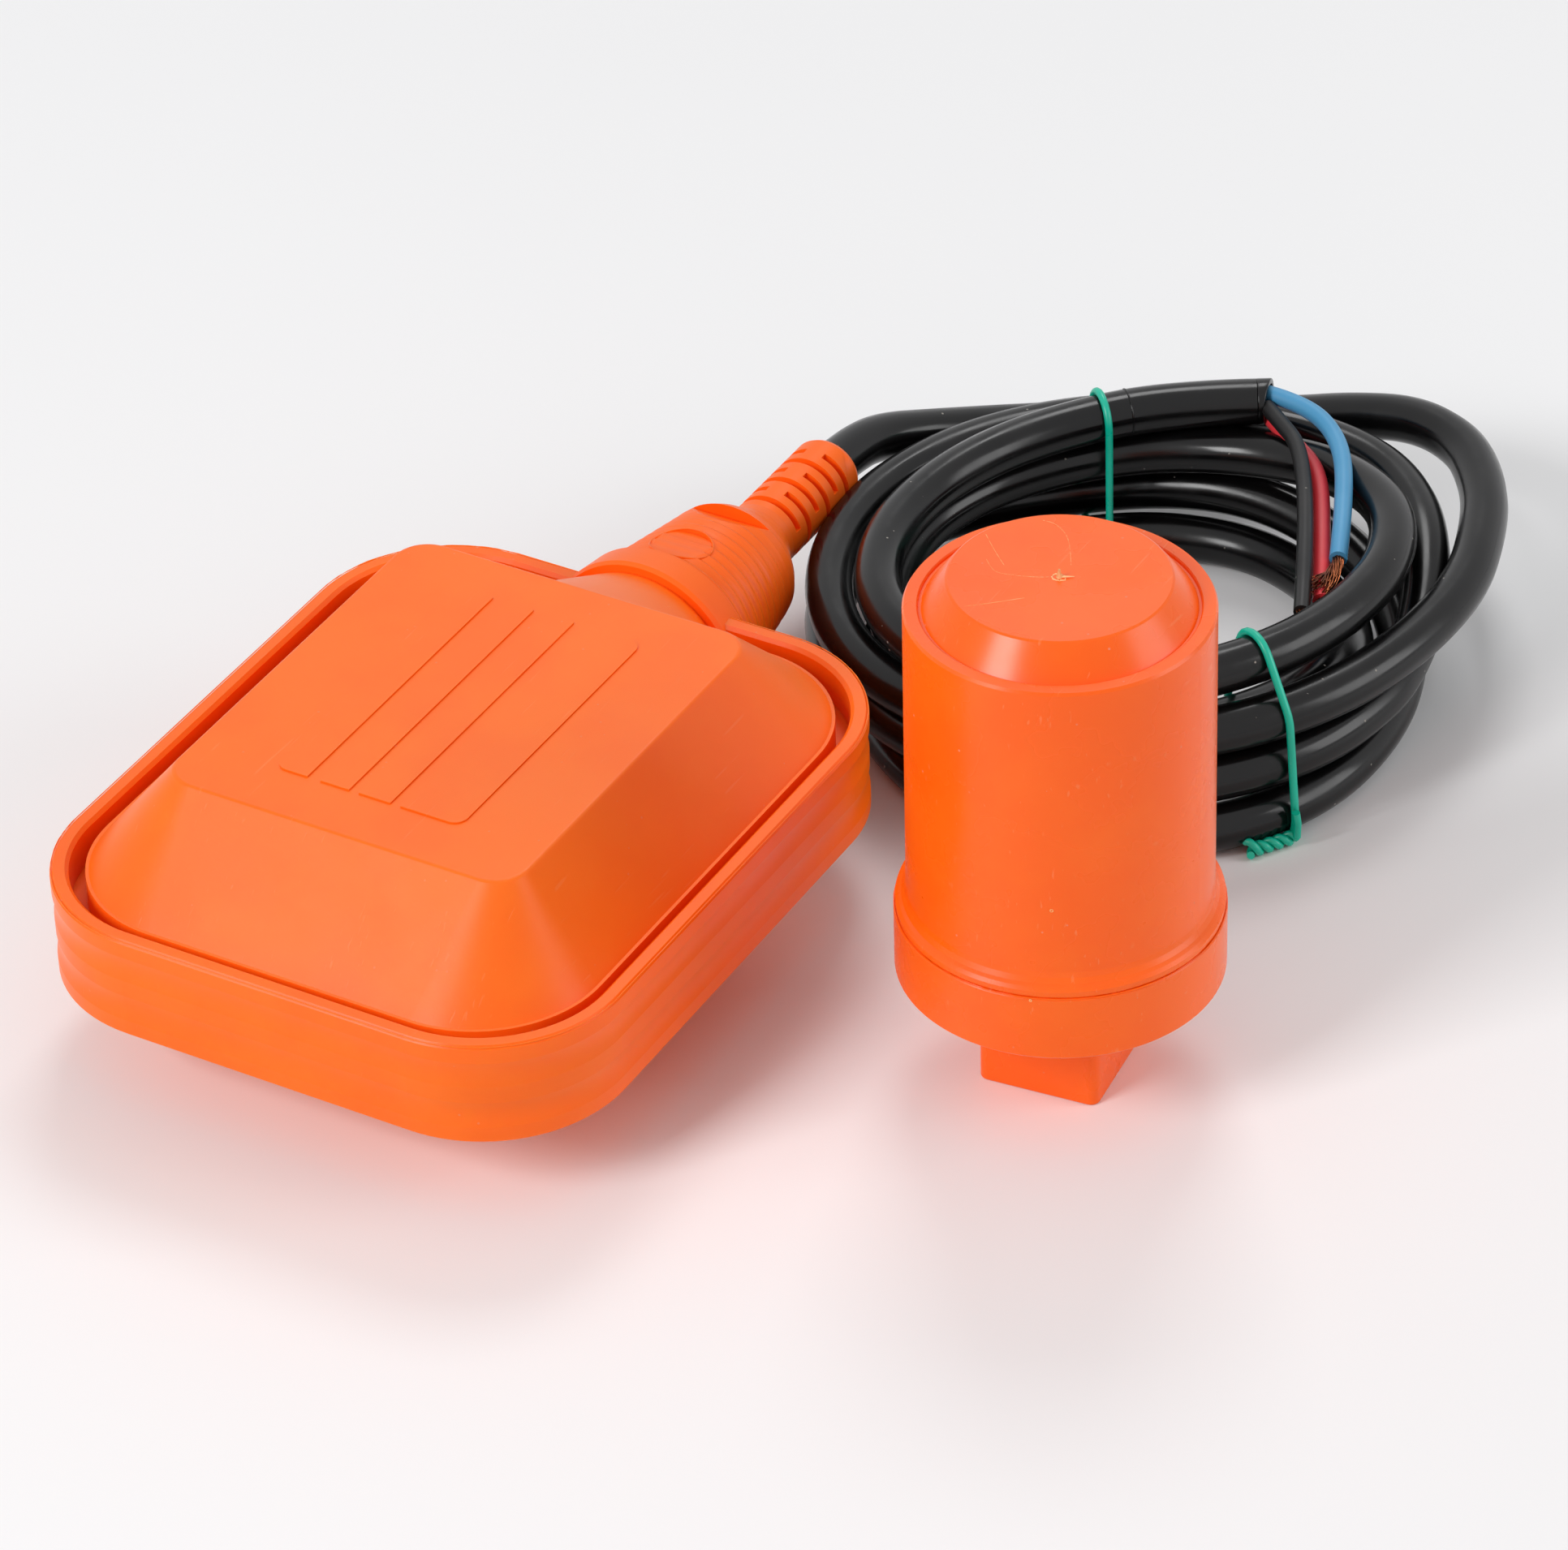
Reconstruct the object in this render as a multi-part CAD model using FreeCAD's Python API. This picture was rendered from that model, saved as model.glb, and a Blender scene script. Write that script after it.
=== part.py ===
import FreeCAD, Part
import math
import os

# Float level switch: a flat moulded float, its cable wound in a tied coil, and a loose counterweight.
# Millimetres, +Z up. The origin lies on the floor, under the middle of the float and the counterweight.
#
# Float pieces are drawn round the middle of the float: y runs towards the cable, z = 0 is the seam
# between its two shells. Counterweight pieces are drawn round their own axis, with z = 0 on the floor.

V = FreeCAD.Vector
Y_AXIS = V(0, 1, 0)
Z_AXIS = V(0, 0, 1)
ORIGIN = V(0, 0, 0)

os.makedirs("parts", exist_ok=True)

# ---------------------------------------------------------------- driving dimensions

# float, outside
FLOAT_LENGTH = 121.0
FLOAT_WIDTH = 100.6
RIM_CORNER = 24.2
RIM_HEIGHT = 18.8
RIM_WALL = 3.0
RIM_EDGE = 0.6            # rounding of the rim's four edges
RIM_WAIST = 0.4           # how far the rim's outer face draws in between its lips and its middle bead
RIM_LIP = 3.2             # height of each plain lip
RIM_BEAD = 3.0            # height of the bead along the seam
FLANGE_GRIP = 1.3         # how deep the shells' flanges sit in the rim
DOME_RISE = 15.0          # plateau above the rim
PLATEAU_LENGTH = 75.4
PLATEAU_WIDTH = 64.0
PLATEAU_CORNER = 5.5
PLATEAU_EDGE = 0.9
GROOVE = 1.8              # gap between the rim and the foot of the dome
FOOT_CORNER = 21.4
FOOT_HEIGHT = 8.2         # upright foot of the dome, from the seam
FOOT_LEDGE = 0.55
SHELL_WALL = 2.4
FLANGE = 2.6

# raised writing panels, left bare
PANEL_RISE = 0.3
PANEL_LENGTH = 55.7
PANEL_EDGES = ((-17.3, -11.1), (-8.7, -3.4), (-1.6, 4.2), (6.0, 17.0))
PANEL_CORNER = 2.2
PANEL_SHIFT = 0.4         # middle of the panels, towards the cable

# neck and cable boot
NECK_ROOT = 15.7          # neck radius where it enters the boot
NECK_TIP = 12.6
BOOT_INSET = 4.5          # how far the boot begins inside the float's end
NECK_LENGTH = 11.0
HUMP_TOP = 24.2           # hump radius at the plateau's edge
BOOT_LIP = 17.5
BOOT_LIP_LENGTH = 7.0
BOOT_CONE = 15.6          # radius behind the lip
BOOT_CONE_END = 12.4
BOOT_CONE_LENGTH = 27.0   # from the boot's start to the end of the cone
BOOT_TAPER_LENGTH = 12.5
SLEEVE = 6.3
SLEEVE_LENGTH = 23.2
RIB_COUNT = 8
RIB_PITCH = 2.45
RIB_DEPTH = 0.35
DISC_DIAMETER = 10.6
DISC_PLACE = 13.2         # middle of the disc, from the boot's start
DISC_DEPTH = 0.7
NOTCH_BACK = 29.6
NOTCH_RUN = 6.0
NOTCH_DEPTH = 3.0
SLOT_WIDTH = 1.4
SLOT_PITCH = 3.27
SLOT_ROWS = 6
SLOT_FIRST = 2.2          # middle of the first slot, from the start of the sleeve
SLOT_SPAN = 148.0         # degrees
SLOT_FLOOR = 0.7          # left between a slot and the cable
SLEEVE_END_EDGE = 0.9

# cable
CABLE_DIAMETER = 8.2
CORE_DIAMETER = 2.7
LEAD_STRAIGHT = 3.4       # straight ends of the cores inside the float

# seal and clamp in the neck
SEAL_BORE = 9.0           # radius of the neck's bore
SEAL_LENGTH = 9.0
SEAL_INSET = 2.0          # how far the seal begins before the boot
CLAMP_INSET = 8.0         # from the boot's start back to the middle of the cable clamp
CLAMP_WIDTH = 7.0
CLAMP_HALF_LENGTH = 13.6
CLAMP_THICKNESS = 3.2
CLAMP_SCREW_SPACING = 19.8
CLAMP_SEAT = -1.4         # parting of the clamp, from the cable's axis
JACKET_SPARE = 2.5        # how far the jacket reaches past the clamp into the float

# ball channel
BALL_DIAMETER = 16.0
BALL_PLAY = 0.1
CHANNEL_WALL = 1.8
CHANNEL_END_WALL = 2.0    # behind the resting ball
CHANNEL_SIDE_GAP = 0.15
CARRIER_WIDTH = 50.0
CARRIER_BACK_GAP = 11.7   # between the carrier and the outside of the dome's foot
CARRIER_CLAMP_GAP = 4.5   # between the carrier and the cable clamp
CARRIER_CORNER = 6.0
CARRIER_PLATE = 2.0
CARRIER_BASE = -12.0      # underside of the carrier
CHANNEL_RISE = 17.0       # height of the channel's walls above the plate
LID_PLATE = 1.6
LID_SKIRT = 1.1
LID_SKIRT_DEPTH = 3.6
LID_SLOT_COUNT = 5
LID_CATCH_COUNT = 3       # catches along each side
LID_CATCH = 4.0           # length of each catch
LID_SLOT = (8.0, 4.2)     # width and length of each air slot in the lid
BOSS_RADIUS = 3.6
BOSS_X = 20.0
BOSS_BACK = 12.0          # from the carrier's back end
BOSS_FRONT = 8.0          # from its front end
SCREW_SHANK = 1.4
SCREW_HEAD = 2.9
SCREW_HEAD_HEIGHT = 2.0
SCREW_LENGTH = 9.0
OVERCUT = 1.0             # how far a cutter reaches past the face that it opens

# microswitch
SWITCH_LENGTH = 27.8
SWITCH_HEIGHT = 15.9
SWITCH_THICKNESS = 10.3
SWITCH_SEAT = 32.0        # from the switch's front to the carrier's end
SWITCH_WALL = 1.2
SWITCH_HOLE = 1.55
SWITCH_HOLE_X = 11.1
SWITCH_HOLE_Y = 13.2      # from the switch's front
PLUNGER_X = 5.0
PLUNGER_SIZE = (3.0, 4.0) # along x and z
PLUNGER_FIT = 0.06
PLUNGER_HEAD = (5.4, 6.0, 1.0)
PLUNGER_NIB = 1.2
PLUNGER_TRAVEL = 0.6
HINGE_X = 11.0
HINGE_GAP = 0.25          # between the lever's barrel and the switch
HINGE_PIN = 0.6
HINGE_FIT = 0.03
LEVER_BARREL = 1.15
LEVER_TIP_X = -8.5
LEVER_BLADE = 0.5
LEVER_WIDTH = 4.4
LEVER_CURL = 0.9
LEVER_REST_ANGLE = 10.0
LEVER_SWING = 7.5
LEVER_CLEAR = 1.0         # between the lever's tip and the end of the channel
BALL_STOP = 0.3           # gap left between the ball and the resting lever
EAR_THICKNESS = 1.0
CONTACT_X = 10.0
CONTACT_PIVOT_X = -10.0
CONTACT_LINE = 3.6        # blade's middle, from the switch's front
CONTACT_BLADE = 0.35
CONTACT_PIN = 0.5
CONTACT_BARREL = 0.95
CONTACT_BUTTON = (1.4, 0.5)
CONTACT_SIDE_GAP = 0.06
STRIP_WIDTH = 3.2         # along z
STRIP = 0.6
TAB_LENGTH = 6.0
TAB_X = {"common": -6.0, "open": 1.0, "closed": 7.2}
LEAD_BUNDLE = {           # tab and place in the jacket of each core inside the float
    "lead_blue": ("common", (-1.9, 0.9)),
    "lead_black": ("open", (0.0, -1.9)),
    "lead_red": ("closed", (1.9, 0.9)),
}

# counterweight
WEIGHT_OFFSET = (96.9, 19.8)   # counterweight's axis, from the middle of the float
WEIGHT_TURN = 5.8              # degrees, about its own axis
LUG_WIDTH = 20.2
LUG_CORNER = 1.6
LUG_HEIGHT = 19.7
LUG_WALL = 3.0
CAP_PROUD = 1.95          # how far the cap stands out past the body
CAP_HEIGHT = 11.7
CAP_EDGE = 0.5
CAP_FLOOR = 3.0
SPIGOT_HEIGHT = 4.6
SPIGOT_WALL = 3.0
BODY_RADIUS = 24.15
BODY_DRAFT = 0.15         # how much the wall narrows towards its top
BODY_HEIGHT = 55.8        # from the cap to the rim's top
BODY_WALL = 2.7
FOOT_RING_HEIGHT = 1.7
FOOT_RING_FILLET = 2.1
TOP_RIM = 2.4
TOP_MOAT = 0.5
TOP_DISC_INSET = 6.85     # from the body's top radius to the raised disc
TOP_DISC_RISE = 4.8
TOP_WALL = 3.2
BALLAST_PLAY = 0.15
BALLAST_BORE = 7.0

# coil of cable, tied with two wires
# The turns stack up round the eye; looser turns lie outside the stack and stand less high.
COIL_TURN = 69.8               # degrees, direction of the long axes
COIL_EYE_CENTRE = (61.9, 115.0)    # from the middle of the float
COIL_EYE = (44.0, 33.4)        # half axes of the open middle
COIL_STACK = (52.3, 41.6)      # outer half axes of the stack
COIL_HEIGHT = 34.85
COIL_LOOSE_CENTRE = (58.9, 124.1)
COIL_LOOSE = (61.6, 55.4)      # outer half axes of the loose turns
COIL_LOOSE_HEIGHT = 26.35
COIL_EDGE = 2.5
BOOT_CLEAR = 0.3               # between the coil and the boot's sleeve above it
TIE_DIAMETER = 1.7
TIE_GAP = 0.15
TIE_BEND = 3.0
TIE_FLOOR_BEND = 1.0           # tighter, where the wire turns under the coil
TIE_PLACES = (            # name, a point on top of the stack, and the outward direction in degrees
    ("tie_back", (38.5, 147.3), 135.0),
    ("tie_front", (95.0, 94.0), -30.0),
)
TIE_TWIST_DIAMETER = 3.0
TIE_TWIST = 14.0
TIE_TWIST_LEAN = 15.0          # degrees, how far the twisted ends lean away from the coil
JACKET_CUT = (61.5, 165.3)     # where the jacket stops on top of the coil
JACKET_CUT_TURN = 37.8
JACKET_STEP = 8.6              # depth of the gap in the top turn, past the jacket's end
JACKET_STEP_END = (88.0, 152.0)

# the stretch of cable between the boot's mouth and the coil, from the mouth's middle
LEAD_ROUTE = (
    (0.0, 0.0, 0.0), (0.0, 8.0, 0.0), (2.0, 15.7, -0.2), (6.1, 22.6, -0.5), (11.9, 28.0, -1.0),
    (18.2, 33.0, -1.7),
)

# the three bared cores, from the jacket's end
CORE_ROUTES = {
    "core_blue": (
        (-0.5, 1.0, 1.5), (7.2, -0.2, 2.4), (16.0, -7.0, 2.2), (23.0, -18.5, 1.4), (30.0, -35.5, 0.3)),
    "core_red": (
        (-0.1, 0.5, -1.9), (7.2, -4.4, -2.7), (16.6, -13.4, -0.6), (24.6, -28.7, -0.4), (32.0, -48.4, -1.0)),
    "core_black": (
        (1.4, -1.8, 0.8), (5.4, -5.4, 0.9), (10.4, -11.0, 0.7), (20.6, -31.2, 0.4), (30.8, -55.2, -1.2)),
}

# ---------------------------------------------------------------- derived places

FLOAT_HEIGHT = RIM_HEIGHT + 2 * DOME_RISE
DOME_TOP = FLOAT_HEIGHT / 2
NECK_START = FLOAT_LENGTH / 2 - BOOT_INSET
BOOT_END = NECK_START + BOOT_CONE_LENGTH + BOOT_TAPER_LENGTH + SLEEVE_LENGTH
CAP_RADIUS = BODY_RADIUS + CAP_PROUD
BODY_TOP_RADIUS = BODY_RADIUS - BODY_DRAFT
TOP_DISC_RADIUS = BODY_TOP_RADIUS - TOP_DISC_INSET
SPAN_X = (-FLOAT_WIDTH / 2, WEIGHT_OFFSET[0] + CAP_RADIUS)
SPAN_Y = (-FLOAT_LENGTH / 2, BOOT_END)
FLOAT_MIDDLE = V(-sum(SPAN_X) / 2, -sum(SPAN_Y) / 2, DOME_TOP)
FLOOR_UNDER_FLOAT = V(FLOAT_MIDDLE.x, FLOAT_MIDDLE.y, 0)
WEIGHT_FOOT = FLOOR_UNDER_FLOAT + V(WEIGHT_OFFSET[0], WEIGHT_OFFSET[1], 0)
BOOT_MOUTH = FLOAT_MIDDLE + V(0, BOOT_END, 0)
CABLE_RADIUS = CABLE_DIAMETER / 2
CORE_RADIUS = CORE_DIAMETER / 2
BALL_RADIUS = BALL_DIAMETER / 2
CHANNEL_FLOOR = CARRIER_BASE + CARRIER_PLATE
BALL_LINE = CHANNEL_FLOOR + BALL_RADIUS + BALL_PLAY
CHANNEL_HALF = BALL_RADIUS + CHANNEL_SIDE_GAP
SEAL_PLACE = NECK_START - SEAL_INSET
CLAMP_PLACE = NECK_START - CLAMP_INSET
CLAMP_START = CLAMP_PLACE - CLAMP_WIDTH / 2
CLAMP_END = CLAMP_PLACE + CLAMP_WIDTH / 2
JACKET_END = CLAMP_START - JACKET_SPARE
HINGE_REACH = LEVER_BARREL + HINGE_GAP
FOOT_LENGTH = FLOAT_LENGTH - 2 * (RIM_WALL + GROOVE)
FOOT_WIDTH = FLOAT_WIDTH - 2 * (RIM_WALL + GROOVE)
CARRIER_START = -FOOT_LENGTH / 2 + CARRIER_BACK_GAP
CARRIER_END = CLAMP_START - CARRIER_CLAMP_GAP
CHANNEL_START = CARRIER_START + CHANNEL_END_WALL
SWITCH_FRONT = CARRIER_END - SWITCH_SEAT
BOSS_ROWS = (CARRIER_START + BOSS_BACK, CARRIER_END - BOSS_FRONT)
BOSS_PLACES = [(x, y) for x in (-BOSS_X, BOSS_X) for y in BOSS_ROWS]

PIECES = {}


# ---------------------------------------------------------------- shared forms

def polygon_wire(points):
    """A closed wire of straight edges."""
    return Part.makePolygon(list(points) + [points[0]])


def prism(points, rise):
    """A solid prism on a closed outline, along the vector rise."""
    return Part.Face(polygon_wire(points)).extrude(rise)


def block(low, high):
    """A box between two corners."""
    low, high = V(*low), V(*high)
    size = high - low
    return Part.makeBox(size.x, size.y, size.z, low)


def rounded_outline(length, width, corner, z=0.0):
    """Rounded rectangle about the z axis, with its length along y."""
    half_x, half_y = width / 2, length / 2
    in_x, in_y = half_x - corner, half_y - corner
    edges = []
    for step, (cx, cy) in enumerate(((in_x, in_y), (-in_x, in_y), (-in_x, -in_y), (in_x, -in_y))):
        start = step * 90.0
        arc = Part.makeCircle(corner, V(cx, cy, z), Z_AXIS, start, start + 90.0)
        edges.append(arc)
    wire = []
    for here, following in zip(edges, edges[1:] + edges[:1]):
        wire.append(here)
        a, b = here.Vertexes[-1].Point, following.Vertexes[0].Point
        if a.distanceToPoint(b) > 1e-6:
            wire.append(Part.makeLine(a, b))
    return Part.Wire(wire)


def rounded_plate(length, width, corner, z, height):
    """A rounded rectangular plate from z upwards."""
    return Part.Face(rounded_outline(length, width, corner, z)).extrude(V(0, 0, height))


def revolve_y(profile):
    """Turn a closed outline of (radius, y) points about the y axis."""
    face = Part.Face(polygon_wire([V(radius, y, 0) for radius, y in profile]))
    return face.revolve(ORIGIN, Y_AXIS, 360)


def revolve_z(profile):
    """Turn a closed outline of (radius, z) points about the z axis."""
    face = Part.Face(polygon_wire([V(radius, 0, z) for radius, z in profile]))
    return face.revolve(ORIGIN, Z_AXIS, 360)


def cylinder(radius, height, base, direction=Z_AXIS):
    """A plain cylinder."""
    return Part.makeCylinder(radius, height, base, direction)


def strip(points, thickness, z_low, z_high):
    """A strip bent along a path in the x-y plane, standing on edge between two heights."""
    half = thickness / 2
    left, right = [], []
    for index, point in enumerate(points):
        before = points[max(index - 1, 0)]
        after = points[min(index + 1, len(points) - 1)]
        ways = []
        for a, b in ((before, point), (point, after)):
            run = math.hypot(b[0] - a[0], b[1] - a[1])
            if run:
                ways.append(((b[0] - a[0]) / run, (b[1] - a[1]) / run))
        first, last = ways[0], ways[-1]
        side = (-first[1] - last[1], first[0] + last[0])
        size = math.hypot(*side)
        side = (side[0] / size, side[1] / size)
        reach = half / (side[0] * -first[1] + side[1] * first[0])
        left.append(V(point[0] + side[0] * reach, point[1] + side[1] * reach, z_low))
        right.append(V(point[0] - side[0] * reach, point[1] - side[1] * reach, z_low))
    return prism(left + right[::-1], V(0, 0, z_high - z_low))


def arc_route(points, name):
    """A wire of straight runs joined by tangent arcs, each as large as its two runs allow."""
    edges = []
    radii = []
    start = points[0]
    for before, corner, after in zip(points, points[1:], points[2:]):
        back = (before - corner).normalize()
        ahead = (after - corner).normalize()
        half_turn = (math.pi - back.getAngle(ahead)) / 2
        reach = 0.45 * min((before - corner).Length, (after - corner).Length)
        radius = reach / math.tan(half_turn)
        radii.append(round(radius, 1))
        entry, leave = corner + back * reach, corner + ahead * reach
        inward = (back + ahead).normalize()
        centre = corner + inward * (radius / math.cos(half_turn))
        middle = centre - inward * radius
        edges.append(Part.LineSegment(start, entry).toShape())
        edges.append(Part.Arc(entry, middle, leave).toShape())
        start = leave
    edges.append(Part.LineSegment(start, points[-1]).toShape())
    print(name, "arc radii", radii)
    return Part.Wire(edges)


def tube(points, radius, name):
    """A round solid along a route, with its volume compared with its section times its length."""
    path = arc_route(points, name)
    first = path.Edges[0]
    way = (first.Vertexes[-1].Point - first.Vertexes[0].Point).normalize()
    section = Part.Wire([Part.makeCircle(radius, points[0], way)])
    pipe = path.makePipeShell([section], True, True)
    expected = math.pi * radius ** 2 * path.Length
    print(name, "length", round(path.Length, 1), "volume ratio", round(pipe.Volume / expected, 4))
    return pipe


def screw(place, length):
    """A pan-headed screw pointing down, with the underside of its head at place."""
    head = cylinder(SCREW_HEAD, SCREW_HEAD_HEIGHT, place)
    head = head.makeFillet(0.8, [edge for edge in head.Edges if edge.BoundBox.ZMin > place.z + 0.1])
    drive = block(
        (place.x - SCREW_HEAD, place.y - 0.4, place.z + SCREW_HEAD_HEIGHT - 0.9),
        (place.x + SCREW_HEAD, place.y + 0.4, place.z + SCREW_HEAD_HEIGHT + 1),
    )
    shank = cylinder(SCREW_SHANK, length, place, V(0, 0, -1))
    return head.cut(drive).fuse(shank)


def keep(name, shape, move=ORIGIN):
    """Store a piece by its name, moved from its own frame to the object's."""
    shape = shape.copy()
    shape.translate(move)
    PIECES[name] = shape


# ---------------------------------------------------------------- float shells

FLANGE_LENGTH = FLOAT_LENGTH - 2 * (RIM_WALL - FLANGE_GRIP)
FLANGE_WIDTH = FLOAT_WIDTH - 2 * (RIM_WALL - FLANGE_GRIP)
FLANGE_CORNER = RIM_CORNER - RIM_WALL + FLANGE_GRIP


def dome(inset):
    """The domed block, from the seam up, set in by one wall on every face when inset is that wall."""
    turn_in = 0.41 * inset
    foot_top = FOOT_HEIGHT - turn_in
    foot = rounded_plate(FOOT_LENGTH - 2 * inset, FOOT_WIDTH - 2 * inset, FOOT_CORNER - inset, 0, foot_top)
    ledge = inset + FOOT_LEDGE
    low = rounded_outline(FOOT_LENGTH - 2 * ledge, FOOT_WIDTH - 2 * ledge, FOOT_CORNER - ledge, foot_top)
    high = rounded_outline(
        PLATEAU_LENGTH - 2 * turn_in, PLATEAU_WIDTH - 2 * turn_in, PLATEAU_CORNER - turn_in, DOME_TOP - inset)
    return foot.fuse(Part.makeLoft([low, high], True, True))


def hump():
    """Cone that carries the neck from the plateau's edge to the boot, above the seam."""
    start = PLATEAU_LENGTH / 2
    cone = Part.makeCone(HUMP_TOP, NECK_ROOT, NECK_START - start, V(0, start, 0), Y_AXIS)
    neck = Part.makeCone(NECK_ROOT, NECK_TIP, NECK_LENGTH, V(0, NECK_START, 0), Y_AXIS)
    return cone.fuse(neck).common(upper_half())


def upper_half():
    """A block that holds everything above the seam."""
    return block((-200, -200, 0), (200, 200, 200))


def neck_bore():
    """The bore through the neck: a pocket for the seal, and a hole for the cable in its end."""
    pocket_end = SEAL_PLACE + SEAL_LENGTH
    pocket = cylinder(SEAL_BORE, pocket_end - (FOOT_LENGTH / 2 - 2 * SHELL_WALL),
                      V(0, FOOT_LENGTH / 2 - 2 * SHELL_WALL, 0), Y_AXIS)
    hole = cylinder(CABLE_RADIUS, NECK_LENGTH, V(0, pocket_end - 1, 0), Y_AXIS)
    return pocket.fuse(hole)


def half_shell():
    """One half of the float: domed, hollow, with its flange and half of the neck."""
    flange = rounded_plate(FLANGE_LENGTH, FLANGE_WIDTH, FLANGE_CORNER, 0, FLANGE)
    outer = dome(0).fuse(flange).cut(boot_envelope()).fuse(hump())
    cavity = dome(SHELL_WALL)
    shell = outer.cut(cavity)
    shell = shell.cut(neck_bore()).removeSplitter()
    plateau = [
        edge for edge in shell.Edges
        if edge.BoundBox.ZMin > DOME_TOP - 0.01 and edge.BoundBox.YMax < PLATEAU_LENGTH / 2 - 0.5
        and (abs(edge.BoundBox.XMax) > PLATEAU_WIDTH / 2 - PLATEAU_CORNER
             or abs(edge.BoundBox.XMin) > PLATEAU_WIDTH / 2 - PLATEAU_CORNER)
    ]
    return shell.makeFillet(PLATEAU_EDGE, plateau)


def writing_panels():
    """Four thin raised panels side by side; the outer corners of the outer two are rounded."""
    panels = []
    last = len(PANEL_EDGES) - 1
    for index, (left, right) in enumerate(PANEL_EDGES):
        low = PANEL_SHIFT - PANEL_LENGTH / 2
        panel = block((left, low, DOME_TOP), (right, low + PANEL_LENGTH, DOME_TOP + PANEL_RISE))
        if index in (0, last):
            outer_x = left if index == 0 else right
            corners = [
                edge for edge in panel.Edges
                if edge.BoundBox.ZLength > PANEL_RISE / 2 and abs(edge.BoundBox.Center.x - outer_x) < 0.01
            ]
            panel = panel.makeFillet(PANEL_CORNER, corners)
        panels.append(panel)
    return panels


def bosses():
    """Screw bosses on the inner floor of the lower shell, drawn upside down with the shell."""
    floor = DOME_TOP - SHELL_WALL + 0.4
    top = -CARRIER_BASE
    posts = []
    for x, y in BOSS_PLACES:
        post = cylinder(BOSS_RADIUS, floor - top, V(x, y, top))
        hole = cylinder(SCREW_SHANK, SCREW_LENGTH, V(x, y, top))
        posts.append((post, hole))
    return posts


def clamp_seat():
    """Saddle in the lower shell that carries the cable behind the seal, drawn upside down."""
    top = -CLAMP_SEAT
    saddle = block((-CLAMP_HALF_LENGTH, CLAMP_START, top), (CLAMP_HALF_LENGTH, CLAMP_END, DOME_TOP))
    saddle = saddle.common(dome(SHELL_WALL / 2))
    saddle = saddle.cut(cylinder(CABLE_RADIUS, CLAMP_WIDTH + 2, V(0, CLAMP_START - 1, 0), Y_AXIS))
    holes = []
    for x in (-CLAMP_SCREW_SPACING / 2, CLAMP_SCREW_SPACING / 2):
        holes.append(cylinder(SCREW_SHANK, SCREW_LENGTH - CLAMP_THICKNESS, V(x, CLAMP_PLACE, top)))
    return saddle, holes


def float_shells():
    """Upper shell with its panels; lower shell with its bosses and clamp saddle."""
    half = half_shell()
    upper = half.multiFuse(writing_panels())
    lower = half
    for post, hole in bosses():
        lower = lower.fuse(post).cut(hole)
    saddle, holes = clamp_seat()
    lower = lower.fuse(saddle)
    for hole in holes:
        lower = lower.cut(hole)
    lower = lower.mirror(ORIGIN, Z_AXIS)
    keep("float_upper_shell", upper, FLOAT_MIDDLE)
    keep("float_lower_shell", lower, FLOAT_MIDDLE)


# ---------------------------------------------------------------- rim band

def rim_section():
    """Closed outline of the rim: (inset from the outer outline, z), with the groove for the flanges."""
    top = RIM_HEIGHT / 2
    lip = top - RIM_LIP
    bead = RIM_BEAD / 2
    waist = (lip + bead) / 2
    outer = [(RIM_EDGE, -top), (0, -top + RIM_EDGE), (0, -lip), (RIM_WAIST, -waist), (0.1, -bead),
             (0.1, bead), (RIM_WAIST, waist), (0, lip), (0, top - RIM_EDGE), (RIM_EDGE, top)]
    inner = [(RIM_WALL - RIM_EDGE, top), (RIM_WALL, top - RIM_EDGE), (RIM_WALL, FLANGE),
             (RIM_WALL - FLANGE_GRIP, FLANGE), (RIM_WALL - FLANGE_GRIP, -FLANGE), (RIM_WALL, -FLANGE),
             (RIM_WALL, -top + RIM_EDGE), (RIM_WALL - RIM_EDGE, -top)]
    return outer, inner


def rim_wire(at, inward):
    """The rim's section as a wire in a plane, with smooth waists between the lips and the bead."""
    outer, inner = rim_section()
    spots = [at + inward * inset + V(0, 0, z) for inset, z in outer]
    edges = [Part.makeLine(spots[0], spots[1]), Part.makeLine(spots[1], spots[2])]
    edges.append(Part.Arc(spots[2], spots[3], spots[4]).toShape())
    edges.append(Part.makeLine(spots[4], spots[5]))
    edges.append(Part.Arc(spots[5], spots[6], spots[7]).toShape())
    edges += [Part.makeLine(spots[7], spots[8]), Part.makeLine(spots[8], spots[9])]
    rest = [spots[9]] + [at + inward * inset + V(0, 0, z) for inset, z in inner] + [spots[0]]
    edges += [Part.makeLine(a, b) for a, b in zip(rest, rest[1:])]
    return Part.Wire(edges)


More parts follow.
